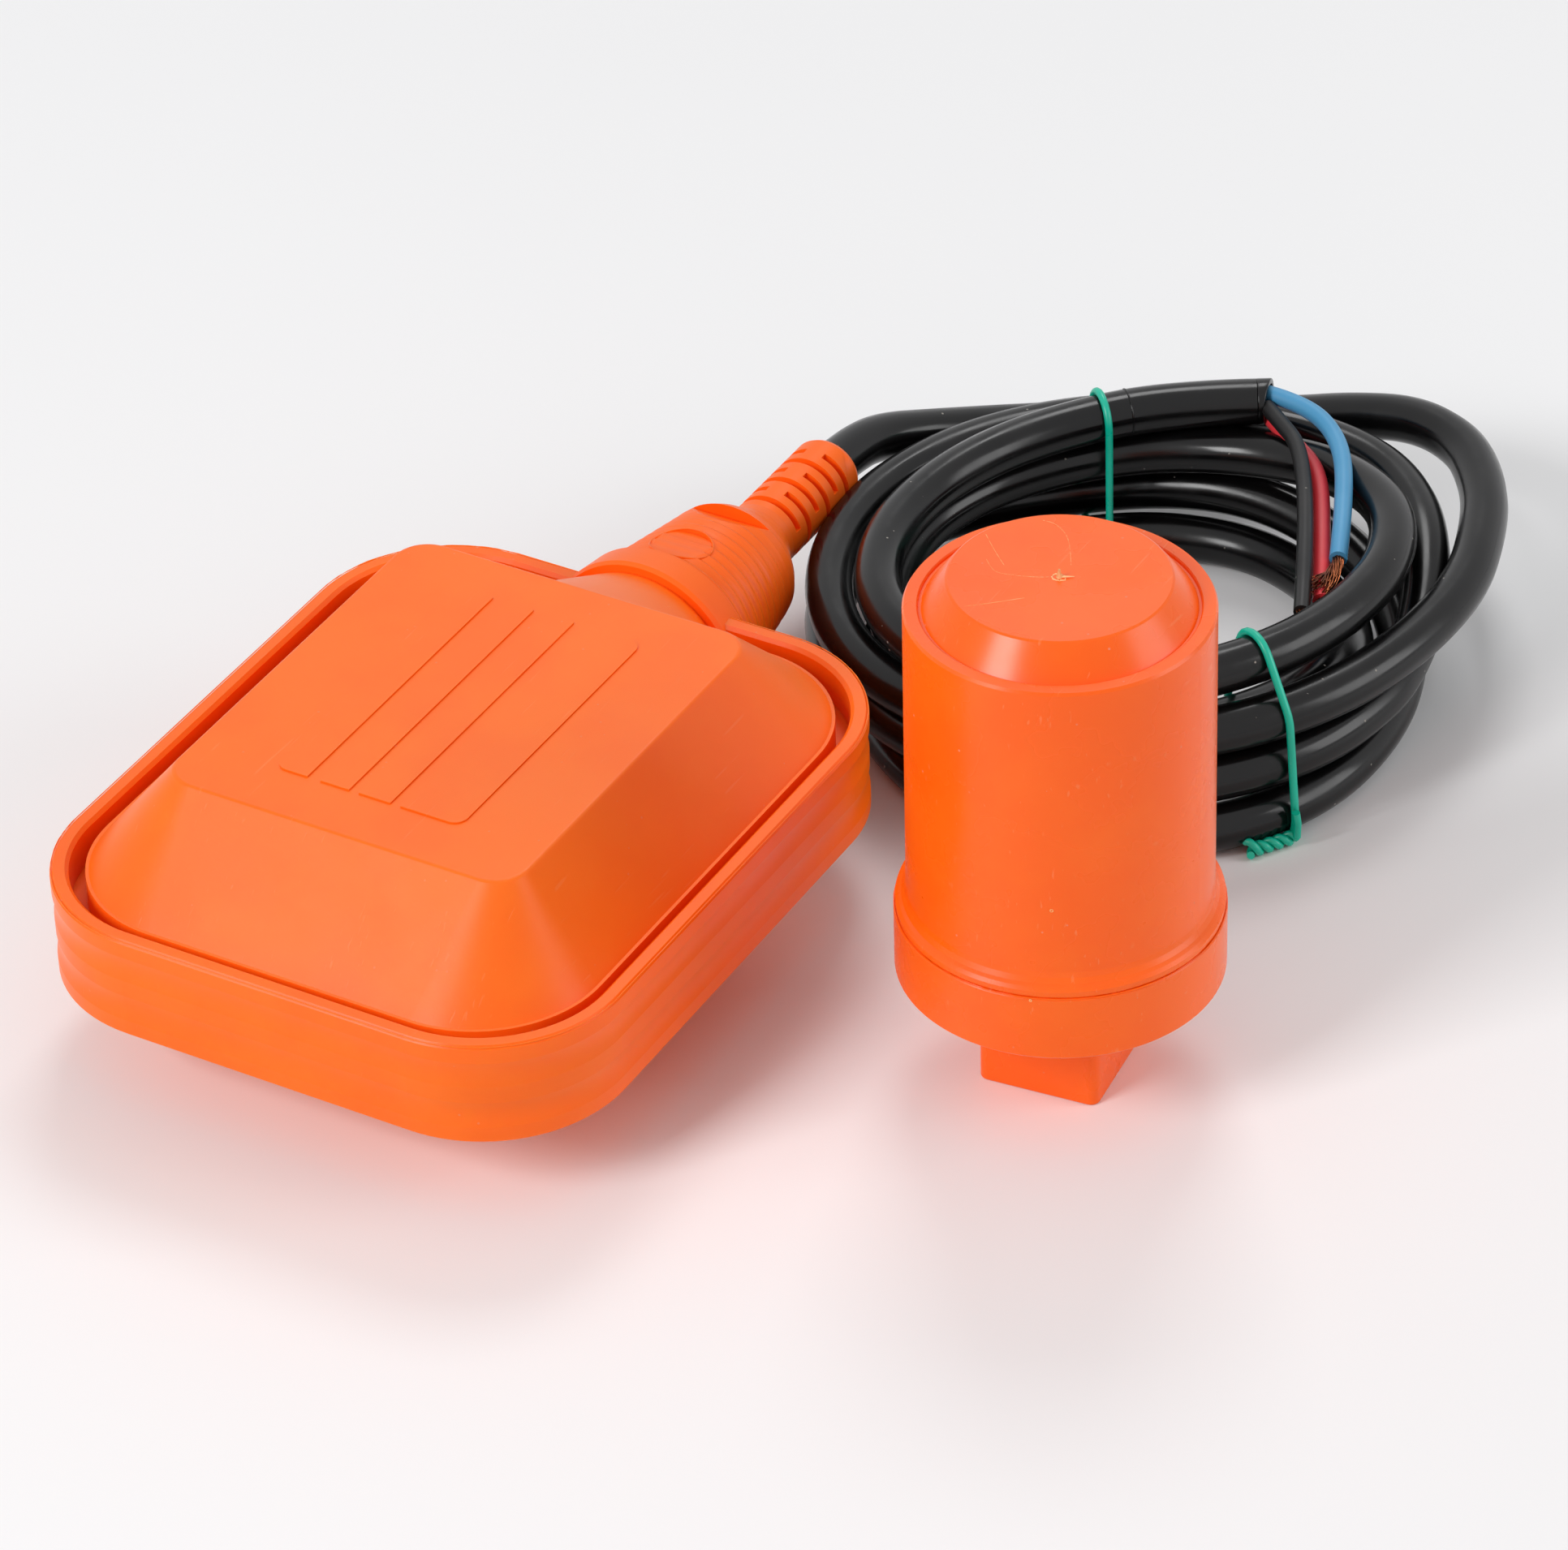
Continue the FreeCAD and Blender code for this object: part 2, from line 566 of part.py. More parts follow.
def rim_band():
    """The band moulded round both flanges: straight sides pushed along, corners turned."""
    half_x, half_y = FLOAT_WIDTH / 2, FLOAT_LENGTH / 2
    in_x, in_y = half_x - RIM_CORNER, half_y - RIM_CORNER
    sections = []
    for x, y, inward, run in (
        (half_x, -in_y, V(-1, 0, 0), V(0, 2 * in_y, 0)),
        (in_x, half_y, V(0, -1, 0), V(-2 * in_x, 0, 0)),
        (-half_x, in_y, V(1, 0, 0), V(0, -2 * in_y, 0)),
        (-in_x, -half_y, V(0, 1, 0), V(2 * in_x, 0, 0)),
    ):
        start = V(x, y, 0)
        sections.append(Part.Face(rim_wire(start, inward)).extrude(run))
        corner = start + run
        pivot = corner + inward * RIM_CORNER
        sections.append(Part.Face(rim_wire(corner, inward)).revolve(pivot, Z_AXIS, 90))
    band = sections[0].multiFuse(sections[1:])
    band = band.cut(boot_envelope()).cut(Part.makeCone(
        HUMP_TOP, NECK_ROOT, NECK_START - PLATEAU_LENGTH / 2, V(0, PLATEAU_LENGTH / 2, 0), Y_AXIS))
    keep("rim_band", band, FLOAT_MIDDLE)


# ---------------------------------------------------------------- cable boot

def boot_profile():
    """Outer outline of the boot from its lip to its mouth: (radius, distance from the boot's start)."""
    lip_round = 0.8
    outline = [(BOOT_LIP - lip_round / 2, 0), (BOOT_LIP, lip_round), (BOOT_LIP - 0.7, BOOT_LIP_LENGTH - 0.6),
               (BOOT_CONE, BOOT_LIP_LENGTH)]
    slope = (BOOT_CONE - BOOT_CONE_END) / (BOOT_CONE_LENGTH - BOOT_LIP_LENGTH)
    for index in range(RIB_COUNT):
        start = BOOT_LIP_LENGTH + 0.5 + index * RIB_PITCH
        radius = BOOT_CONE - slope * (start - BOOT_LIP_LENGTH)
        outline += [
            (radius, start + 0.2 * RIB_PITCH),
            (radius - RIB_DEPTH, start + 0.45 * RIB_PITCH),
            (radius - RIB_DEPTH, start + 0.65 * RIB_PITCH),
            (radius - slope * RIB_PITCH, start + 0.95 * RIB_PITCH),
        ]
    taper_start = BOOT_CONE_LENGTH
    steps = 6
    for index in range(steps + 1):
        share = index / steps
        ease = (1 - math.cos(math.pi * share)) / 2
        outline.append((BOOT_CONE_END + (SLEEVE - BOOT_CONE_END) * ease,
                        taper_start + 0.6 + (BOOT_TAPER_LENGTH - 0.6) * share))
    end = BOOT_END - NECK_START
    outline += [(SLEEVE, end - SLEEVE_END_EDGE), (SLEEVE - SLEEVE_END_EDGE / 2, end)]
    return outline


def boot_envelope():
    """The boot's outer form as a full body, to cut its place out of the rim."""
    outline = [(0, NECK_START)] + [(r, NECK_START + y) for r, y in boot_profile()] + [(0, BOOT_END)]
    return revolve_y(outline)


def ring_slot(place, middle_angle):
    """A slot that runs part of the way round the strain-relief sleeve."""
    floor = CABLE_RADIUS + SLOT_FLOOR
    outer = SLEEVE + 2
    profile = polygon_wire([
        V(floor, place - SLOT_WIDTH / 2, 0), V(outer, place - SLOT_WIDTH / 2, 0),
        V(outer, place + SLOT_WIDTH / 2, 0), V(floor, place + SLOT_WIDTH / 2, 0),
    ])
    face = Part.Face(profile)
    face.rotate(ORIGIN, Y_AXIS, -(middle_angle - SLOT_SPAN / 2))
    return face.revolve(ORIGIN, Y_AXIS, -SLOT_SPAN)


def cable_boot():
    """Moulded boot: lip, ribbed cone, taper and slotted sleeve, bored for the neck and the cable."""
    boot = boot_envelope()
    neck = Part.makeCone(NECK_ROOT, NECK_TIP, NECK_LENGTH, V(0, NECK_START, 0), Y_AXIS)
    bore = cylinder(CABLE_RADIUS, BOOT_END, ORIGIN, Y_AXIS)
    boot = boot.cut(neck).cut(bore)
    slope = (BOOT_CONE - BOOT_CONE_END) / (BOOT_CONE_LENGTH - BOOT_LIP_LENGTH)
    disc_radius_here = BOOT_CONE - slope * (DISC_PLACE - BOOT_LIP_LENGTH)
    tilt = math.atan(slope)
    out = V(0, math.sin(tilt), math.cos(tilt))
    disc_base = V(0, NECK_START + DISC_PLACE, disc_radius_here) - out * DISC_DEPTH
    boot = boot.cut(cylinder(DISC_DIAMETER / 2, 5, disc_base, out))
    notch_top = BOOT_CONE_END + 2
    back = NECK_START + NOTCH_BACK
    floor = BOOT_CONE_END - NOTCH_DEPTH
    notch = prism([
        V(-BOOT_LIP, back - NOTCH_RUN, notch_top), V(-BOOT_LIP, back - NOTCH_RUN, BOOT_CONE_END + 0.6),
        V(-BOOT_LIP, back, floor), V(-BOOT_LIP, back, notch_top),
    ], V(2 * BOOT_LIP, 0, 0))
    boot = boot.cut(notch)
    sleeve_start = BOOT_END - SLEEVE_LENGTH
    for row in range(SLOT_ROWS):
        place = sleeve_start + SLOT_FIRST + row * SLOT_PITCH
        first = 90 if row % 2 == 0 else 0
        for middle in (first, first + 180):
            boot = boot.cut(ring_slot(place, middle))
    keep("cable_boot", boot, FLOAT_MIDDLE)


def cable_entry():
    """The cable inside the boot and neck, its seal, and its clamp bar with two screws."""
    inner = cylinder(CABLE_RADIUS, BOOT_END - JACKET_END, V(0, JACKET_END, 0), Y_AXIS)
    keep("cable_inlet", inner, FLOAT_MIDDLE)

    seal = revolve_y([
        (CABLE_RADIUS, SEAL_PLACE), (SEAL_BORE - 1.2, SEAL_PLACE), (SEAL_BORE, SEAL_PLACE + 1.2),
        (SEAL_BORE, SEAL_PLACE + 2.6), (SEAL_BORE - 0.8, SEAL_PLACE + 3.4),
        (SEAL_BORE - 0.8, SEAL_PLACE + 5.0), (SEAL_BORE, SEAL_PLACE + 5.8),
        (SEAL_BORE, SEAL_PLACE + SEAL_LENGTH), (CABLE_RADIUS, SEAL_PLACE + SEAL_LENGTH),
    ])
    keep("cable_seal", seal, FLOAT_MIDDLE)

    top = CLAMP_SEAT + CLAMP_THICKNESS
    arch = cylinder(CABLE_RADIUS + CLAMP_THICKNESS - 0.8, CLAMP_WIDTH, V(0, CLAMP_START, 0), Y_AXIS)
    above_seat = block((-CABLE_DIAMETER, CLAMP_START, CLAMP_SEAT),
                       (CABLE_DIAMETER, CLAMP_END, CABLE_DIAMETER))
    arch = arch.common(above_seat)
    bar = block((-CLAMP_HALF_LENGTH, CLAMP_START, CLAMP_SEAT), (CLAMP_HALF_LENGTH, CLAMP_END, top)).fuse(arch)
    bar = bar.cut(cylinder(CABLE_RADIUS, CLAMP_WIDTH + 2, V(0, CLAMP_START - 1, 0), Y_AXIS))
    screws = []
    for x in (-CLAMP_SCREW_SPACING / 2, CLAMP_SCREW_SPACING / 2):
        bar = bar.cut(cylinder(SCREW_SHANK, 2 * CLAMP_THICKNESS, V(x, CLAMP_PLACE, CLAMP_SEAT - OVERCUT)))
        screws.append(screw(V(x, CLAMP_PLACE, top), SCREW_LENGTH - 0.5))
    keep("cable_clamp", bar, FLOAT_MIDDLE)
    keep("clamp_screws", Part.makeCompound(screws), FLOAT_MIDDLE)


# ---------------------------------------------------------------- ball channel

def lever_line(x, angle=LEVER_REST_ANGLE):
    """Where the lever's middle line lies at x, from the switch's front."""
    return -HINGE_REACH - (HINGE_X - x) * math.tan(math.radians(angle))


CHANNEL_END = SWITCH_FRONT + lever_line(LEVER_TIP_X) - LEVER_CLEAR
BALL_REST = CHANNEL_START + BALL_RADIUS + BALL_PLAY


def ball_travel():
    """How far the ball rolls from its rest until it is about to touch the lever."""
    tilt = math.cos(math.radians(LEVER_REST_ANGLE))
    return SWITCH_FRONT + lever_line(0) - (BALL_RADIUS + LEVER_BLADE / 2 + BALL_STOP) / tilt - BALL_REST


def ball_channel():
    """Carrier plate with the walled channel, its lid, the screws that hold it, and the ball."""
    middle_y = (CARRIER_START + CARRIER_END) / 2
    plate = rounded_plate(
        CARRIER_END - CARRIER_START, CARRIER_WIDTH, CARRIER_CORNER, CARRIER_BASE, CARRIER_PLATE)
    plate.translate(V(0, middle_y, 0))
    outer = CHANNEL_HALF + CHANNEL_WALL
    wall_top = CHANNEL_FLOOR + CHANNEL_RISE
    walls = block((-outer, CARRIER_START, CARRIER_BASE), (outer, CHANNEL_END, wall_top))
    trough = block((-CHANNEL_HALF, CHANNEL_START, CHANNEL_FLOOR),
                   (CHANNEL_HALF, CHANNEL_END + OVERCUT, wall_top + OVERCUT))
    carrier = plate.fuse(walls).cut(trough)
    catch = LID_SKIRT * 0.55
    catch_z = wall_top - LID_SKIRT_DEPTH / 2
    catch_step = (CHANNEL_END - CARRIER_START) / LID_CATCH_COUNT
    catch_places = [CARRIER_START + (step + 0.5) * catch_step for step in range(LID_CATCH_COUNT)]
    half_catch = LID_CATCH / 2
    for y in catch_places:
        for side in (-1, 1):
            x = side * outer
            start = y - half_catch
            wedge = prism([V(x, start, catch_z - 0.8), V(x + side * catch, start, catch_z - 0.8),
                           V(x, start, catch_z + 0.8)], V(0, LID_CATCH, 0))
            carrier = carrier.fuse(wedge)
    seat_top = BALL_LINE - SWITCH_THICKNESS / 2
    half_switch = SWITCH_LENGTH / 2
    seat = block((-half_switch, SWITCH_FRONT, CARRIER_BASE),
                 (half_switch, SWITCH_FRONT + SWITCH_HEIGHT, seat_top))
    carrier = carrier.fuse(seat)
    for x, y in BOSS_PLACES:
        place = V(x, y, CARRIER_BASE - OVERCUT)
        carrier = carrier.cut(cylinder(SCREW_SHANK, CARRIER_PLATE + 2 * OVERCUT, place))
    for x in (-SWITCH_HOLE_X, SWITCH_HOLE_X):
        place = V(x, SWITCH_FRONT + SWITCH_HOLE_Y, CARRIER_BASE)
        carrier = carrier.cut(cylinder(SCREW_SHANK, seat_top + OVERCUT - CARRIER_BASE, place))
    keep("switch_carrier", carrier.removeSplitter(), FLOAT_MIDDLE)

    lid_outer = outer + LID_SKIRT
    lid = block((-lid_outer, CARRIER_START, wall_top), (lid_outer, CHANNEL_END, wall_top + LID_PLATE))
    for side in (-1, 1):
        low_x, high_x = sorted((side * outer, side * lid_outer))
        skirt = block((low_x, CARRIER_START, wall_top - LID_SKIRT_DEPTH), (high_x, CHANNEL_END, wall_top))
        for y in catch_places:
            skirt = skirt.cut(block((low_x - OVERCUT, y - half_catch - 0.3, catch_z - 0.9),
                                    (high_x + OVERCUT, y + half_catch + 0.3, catch_z + 1.1)))
        lid = lid.fuse(skirt)
    slot_step = (CHANNEL_END - CARRIER_START) / LID_SLOT_COUNT
    for step in range(LID_SLOT_COUNT):
        y = CARRIER_START + (step + 0.5) * slot_step
        lid = lid.cut(block((-LID_SLOT[0] / 2, y - LID_SLOT[1] / 2, wall_top - OVERCUT),
                            (LID_SLOT[0] / 2, y + LID_SLOT[1] / 2, wall_top + LID_PLATE + OVERCUT)))
    keep("channel_lid", lid.removeSplitter(), FLOAT_MIDDLE)

    screws = [screw(V(x, y, CHANNEL_FLOOR), SCREW_LENGTH) for x, y in BOSS_PLACES]
    keep("carrier_screws", Part.makeCompound(screws), FLOAT_MIDDLE)

    ball = Part.makeSphere(BALL_RADIUS, V(0, BALL_REST, BALL_LINE))
    keep("steel_ball", ball, FLOAT_MIDDLE)


# ---------------------------------------------------------------- microswitch
# Drawn with y = 0 on its front and z = 0 at its mid thickness.

SWITCH_MOVE = FLOAT_MIDDLE + V(0, SWITCH_FRONT, BALL_LINE)
HALF_THICK = SWITCH_THICKNESS / 2
HALF_LONG = SWITCH_LENGTH / 2


def switch_case():
    """Open tray with pillars at its mounting holes, a plunger slot, strip slots and two lever ears."""
    tray_top = HALF_THICK - SWITCH_WALL
    tray = block((-HALF_LONG, 0, -HALF_THICK), (HALF_LONG, SWITCH_HEIGHT, tray_top))
    room = block((-HALF_LONG + SWITCH_WALL, SWITCH_WALL, -HALF_THICK + SWITCH_WALL),
                 (HALF_LONG - SWITCH_WALL, SWITCH_HEIGHT - SWITCH_WALL, tray_top + 1))
    tray = tray.cut(room)
    for x in (-SWITCH_HOLE_X, SWITCH_HOLE_X):
        pillar = cylinder(SWITCH_HOLE + 1.1, tray_top + HALF_THICK, V(x, SWITCH_HOLE_Y, -HALF_THICK))
        tray = tray.fuse(pillar)
    for x in (-SWITCH_HOLE_X, SWITCH_HOLE_X):
        tray = tray.cut(cylinder(SCREW_SHANK, SWITCH_THICKNESS + 2, V(x, SWITCH_HOLE_Y, -HALF_THICK - 1)))
    slot_x, slot_z = (size / 2 + PLUNGER_FIT for size in PLUNGER_SIZE)
    tray = tray.cut(block((PLUNGER_X - slot_x, -1, -slot_z), (PLUNGER_X + slot_x, SWITCH_WALL + 0.5, slot_z)))
    for path in (common_path(), open_path(), closed_path()):
        tray = tray.cut(strip(path, STRIP, -STRIP_WIDTH / 2, STRIP_WIDTH / 2))
    ear_low = LEVER_WIDTH / 2 + CONTACT_SIDE_GAP
    for low, high in ((-ear_low - EAR_THICKNESS, -ear_low), (ear_low, ear_low + EAR_THICKNESS)):
        ear = prism([
            V(HINGE_X - 2.2, 0, low), V(HINGE_X - 1.2, -HINGE_REACH - 1.2, low),
            V(HINGE_X + 1.2, -HINGE_REACH - 1.2, low), V(HINGE_X + 2.2, 0, low),
        ], V(0, 0, high - low))
        tray = tray.fuse(ear)
    tray = tray.cut(cylinder(HINGE_PIN, SWITCH_THICKNESS + 4, V(HINGE_X, -HINGE_REACH, -HALF_THICK - 2)))
    keep("switch_case", tray.removeSplitter(), SWITCH_MOVE)

    cover = block((-HALF_LONG, 0, tray_top), (HALF_LONG, SWITCH_HEIGHT, HALF_THICK))
    for x in (-SWITCH_HOLE_X, SWITCH_HOLE_X):
        cover = cover.cut(cylinder(SCREW_SHANK, SWITCH_THICKNESS, V(x, SWITCH_HOLE_Y, 0)))
    keep("switch_cover", cover, SWITCH_MOVE)

    screws = [screw(V(x, SWITCH_HOLE_Y, HALF_THICK), SWITCH_THICKNESS + 2)
              for x in (-SWITCH_HOLE_X, SWITCH_HOLE_X)]
    keep("switch_screws", Part.makeCompound(screws), SWITCH_MOVE)


def contact_swing():
    """The angle in radians that the plunger's travel gives the moving contact."""
    return PLUNGER_TRAVEL / (PLUNGER_X - CONTACT_PIVOT_X)


def common_path():
    """Common terminal, from the contact's pivot to its tab."""
    tab = TAB_X["common"]
    return ((CONTACT_PIVOT_X, CONTACT_LINE + CONTACT_BARREL + CONTACT_SIDE_GAP), (CONTACT_PIVOT_X, 8.0),
            (tab, 9.8), (tab, SWITCH_HEIGHT + TAB_LENGTH))


def open_path():
    """Normally open terminal, from behind the moving contact to its tab."""
    button = CONTACT_LINE + CONTACT_BLADE / 2 + CONTACT_BUTTON[1]
    y = button + contact_swing() * (CONTACT_X - CONTACT_PIVOT_X) + CONTACT_SIDE_GAP + STRIP / 2
    tab = TAB_X["open"]
    return ((CONTACT_X + 1.6, y), (tab + 3.0, y), (tab, y + 3.0), (tab, SWITCH_HEIGHT + TAB_LENGTH))


def closed_path():
    """Normally closed terminal, from the front wall round to its tab."""
    button = CONTACT_LINE - CONTACT_BLADE / 2 - CONTACT_BUTTON[1]
    y = button - CONTACT_SIDE_GAP - STRIP / 2
    side = HALF_LONG - SWITCH_WALL - STRIP / 2
    tab = TAB_X["closed"]
    return ((CONTACT_X - 1.6, y), (side, y), (side, 8.2), (tab, 9.6), (tab, SWITCH_HEIGHT + TAB_LENGTH))


def terminals():
    """Three bent strips; the common one carries the pivot pin of the moving contact."""
    low, high = -STRIP_WIDTH / 2, STRIP_WIDTH / 2
    common = strip(common_path(), STRIP, low, high)
    reach = CONTACT_BARREL + CONTACT_SIDE_GAP
    for z in (low, high - 0.5):
        cheek = block((CONTACT_PIVOT_X - reach, CONTACT_LINE - CONTACT_PIN, z),
                      (CONTACT_PIVOT_X + STRIP / 2, CONTACT_LINE + reach + 0.4, z + 0.5))
        common = common.fuse(cheek)
    pin = cylinder(CONTACT_PIN, STRIP_WIDTH, V(CONTACT_PIVOT_X, CONTACT_LINE, low))
    common = common.fuse(pin)
    keep("terminal_common", common, SWITCH_MOVE)
    keep("terminal_open", strip(open_path(), STRIP, low, high), SWITCH_MOVE)
    keep("terminal_closed", strip(closed_path(), STRIP, low, high), SWITCH_MOVE)


def moving_contact():
    """Contact blade on the common terminal's pin, with a button on each face at its free end."""
    half = STRIP_WIDTH / 2 - 0.5 - CONTACT_SIDE_GAP
    barrel = cylinder(CONTACT_BARREL, 2 * half, V(CONTACT_PIVOT_X, CONTACT_LINE, -half))
    blade = block((CONTACT_PIVOT_X, CONTACT_LINE - CONTACT_BLADE / 2, -half),
                  (CONTACT_X + CONTACT_BUTTON[0], CONTACT_LINE + CONTACT_BLADE / 2, half))
    contact = barrel.fuse(blade)
    thick = CONTACT_BLADE / 2 + CONTACT_BUTTON[1]
    button = cylinder(half, 2 * thick, V(CONTACT_X, CONTACT_LINE - thick, 0), Y_AXIS)
    contact = contact.fuse(button)
    bore = cylinder(CONTACT_PIN + HINGE_FIT, 4 * half, V(CONTACT_PIVOT_X, CONTACT_LINE, -2 * half))
    contact = contact.cut(bore)
    keep("moving_contact", contact, SWITCH_MOVE)


def lever_and_plunger():
    """Hinged lever with its rolled barrel and pin, and the plunger that it presses."""
    half = LEVER_WIDTH / 2
    rest = math.radians(LEVER_REST_ANGLE)
    barrel = cylinder(LEVER_BARREL, LEVER_WIDTH, V(HINGE_X, -HINGE_REACH, -half))
    reach = (HINGE_X - LEVER_TIP_X) / math.cos(rest)
    blade = block((HINGE_X - reach, -HINGE_REACH - LEVER_BLADE / 2, -half),
                  (HINGE_X, -HINGE_REACH + LEVER_BLADE / 2, half))
    curl = cylinder(LEVER_CURL, LEVER_WIDTH,
                    V(HINGE_X - reach, -HINGE_REACH + LEVER_CURL - LEVER_BLADE / 2, -half))
    lever = blade.fuse(curl)
    lever.rotate(V(HINGE_X, -HINGE_REACH, 0), Z_AXIS, LEVER_REST_ANGLE)
    lever = lever.fuse(barrel)
    bore = cylinder(HINGE_PIN + HINGE_FIT, 2 * LEVER_WIDTH, V(HINGE_X, -HINGE_REACH, -LEVER_WIDTH))
    lever = lever.cut(bore)
    keep("switch_lever", lever, SWITCH_MOVE)

    pin_half = half + CONTACT_SIDE_GAP + EAR_THICKNESS
    pin = cylinder(HINGE_PIN, 2 * pin_half, V(HINGE_X, -HINGE_REACH, -pin_half))
    keep("lever_pin", pin, SWITCH_MOVE)

    tip = lever_line(PLUNGER_X) + LEVER_BLADE / 2 / math.cos(rest) + CONTACT_SIDE_GAP
    tip += PLUNGER_SIZE[0] / 2 * math.tan(rest)
    head_start = SWITCH_WALL + CONTACT_SIDE_GAP
    head_end = head_start + PLUNGER_HEAD[2]
    half_x, half_z = (size / 2 for size in PLUNGER_SIZE)
    stem = block((PLUNGER_X - half_x, tip, -half_z), (PLUNGER_X + half_x, head_end, half_z))
    head = block((PLUNGER_X - PLUNGER_HEAD[0] / 2, head_start, -PLUNGER_HEAD[1] / 2),
                 (PLUNGER_X + PLUNGER_HEAD[0] / 2, head_end, PLUNGER_HEAD[1] / 2))
    nib_end = CONTACT_LINE - CONTACT_BLADE / 2 - CONTACT_SIDE_GAP
    nib = block((PLUNGER_X - PLUNGER_NIB / 2, head_end, -PLUNGER_NIB / 2),
                (PLUNGER_X + PLUNGER_NIB / 2, nib_end, PLUNGER_NIB / 2))
    keep("switch_plunger", stem.fuse(head).fuse(nib), SWITCH_MOVE)


def inner_leads():
    """Three cores from the jacket's end to the switch tabs."""
    tab_end = SWITCH_FRONT + SWITCH_HEIGHT + TAB_LENGTH
    for name, (tab, (cable_x, cable_z)) in LEAD_BUNDLE.items():
        tab_x = TAB_X[tab]
        route = [V(tab_x, tab_end, BALL_LINE), V(tab_x, tab_end + LEAD_STRAIGHT, BALL_LINE),
                 V(cable_x, JACKET_END - LEAD_STRAIGHT, cable_z), V(cable_x, JACKET_END, cable_z)]
        keep(name, tube(route, CORE_RADIUS, name), FLOAT_MIDDLE)


# ---------------------------------------------------------------- counterweight

def weight_body():
    """Turned cup, open below: flared foot ring, slightly tapered wall, raised rim and domed top."""
    base = LUG_HEIGHT + CAP_HEIGHT
    top = base + BODY_HEIGHT
    ring = CAP_RADIUS - 0.25
    cove_top = base + FOOT_RING_HEIGHT + FOOT_RING_FILLET
    rim_inner = BODY_TOP_RADIUS - TOP_RIM
    outer = [
        (ring - 0.2, base), (ring, base + 0.3), (ring, base + FOOT_RING_HEIGHT - 0.5),
        (ring - 0.5, base + FOOT_RING_HEIGHT), (BODY_RADIUS + 0.7, cove_top - 1.7),
        (BODY_RADIUS + 0.2, cove_top - 0.9), (BODY_RADIUS, cove_top),
        (BODY_TOP_RADIUS, top - 0.5), (BODY_TOP_RADIUS - 0.3, top),
        (rim_inner + 0.2, top), (rim_inner, top - 0.2), (rim_inner - 0.1, top - TOP_MOAT),
        (rim_inner - 0.5, top - TOP_MOAT), (TOP_DISC_RADIUS + 0.25, top + TOP_DISC_RISE - 0.25),
        (TOP_DISC_RADIUS - 0.1, top + TOP_DISC_RISE), (0, top + TOP_DISC_RISE),
    ]
    inside = BODY_RADIUS - BODY_WALL
    ceiling = top - TOP_WALL
    inner = [(0, ceiling + TOP_DISC_RISE - 1), (TOP_DISC_RADIUS - 2, ceiling + TOP_DISC_RISE - 1),
             (inside, ceiling), (inside, base)]
    keep("weight_body", revolve_z(outer + inner), WEIGHT_FOOT)
    return inside, base, ceiling


def weight_cap(inside, base):
    """Flange with a spigot into the body and a square lug below, cored from above."""
    flange = revolve_z([
        (0, LUG_HEIGHT), (CAP_RADIUS - CAP_EDGE, LUG_HEIGHT), (CAP_RADIUS, LUG_HEIGHT + CAP_EDGE),
        (CAP_RADIUS, base - 0.3), (CAP_RADIUS - 0.3, base), (inside, base),
        (inside, base + SPIGOT_HEIGHT - 0.6), (inside - 0.6, base + SPIGOT_HEIGHT), (0, base + SPIGOT_HEIGHT),
    ])
    lug = rounded_plate(LUG_WIDTH, LUG_WIDTH, LUG_CORNER, 0, LUG_HEIGHT)
    bottom = [edge for edge in lug.Edges if edge.BoundBox.ZMax < 0.01]
    lug = lug.makeFillet(0.5, bottom)
    cap = flange.fuse(lug)
    well = cylinder(inside - SPIGOT_WALL, base + SPIGOT_HEIGHT, V(0, 0, LUG_HEIGHT + CAP_FLOOR))
    core_width = LUG_WIDTH - 2 * LUG_WALL
    core = rounded_plate(core_width, core_width, LUG_CORNER, LUG_WALL, LUG_HEIGHT + CAP_FLOOR)
    cap = cap.cut(well.fuse(core)).removeSplitter()
    cap.rotate(ORIGIN, Z_AXIS, WEIGHT_TURN)
    keep("weight_cap", cap, WEIGHT_FOOT)


def weight_ballast(inside, base, ceiling):
    """Bored iron slug between the cap's spigot and the top of the cup."""
    low = base + SPIGOT_HEIGHT
    high = ceiling - BALLAST_PLAY
    radius = inside - BALLAST_PLAY
    slug = revolve_z([
        (BALLAST_BORE, low), (radius - 1, low), (radius, low + 1),
        (radius, high - 1), (radius - 1, high), (BALLAST_BORE, high),
    ])
    keep("weight_ballast", slug, WEIGHT_FOOT)


# ---------------------------------------------------------------- free cable and ties

def oval_block(centre, half_axes, base, height):
    """An upright oval block with its long axis in the coil's direction."""
    oval = Part.Ellipse(ORIGIN, *half_axes).toShape()
    body = Part.Face(Part.Wire([oval])).extrude(V(0, 0, height))
    body.rotate(ORIGIN, Z_AXIS, COIL_TURN)
    body.translate(FLOOR_UNDER_FLOAT + V(centre[0], centre[1], base))
    return body


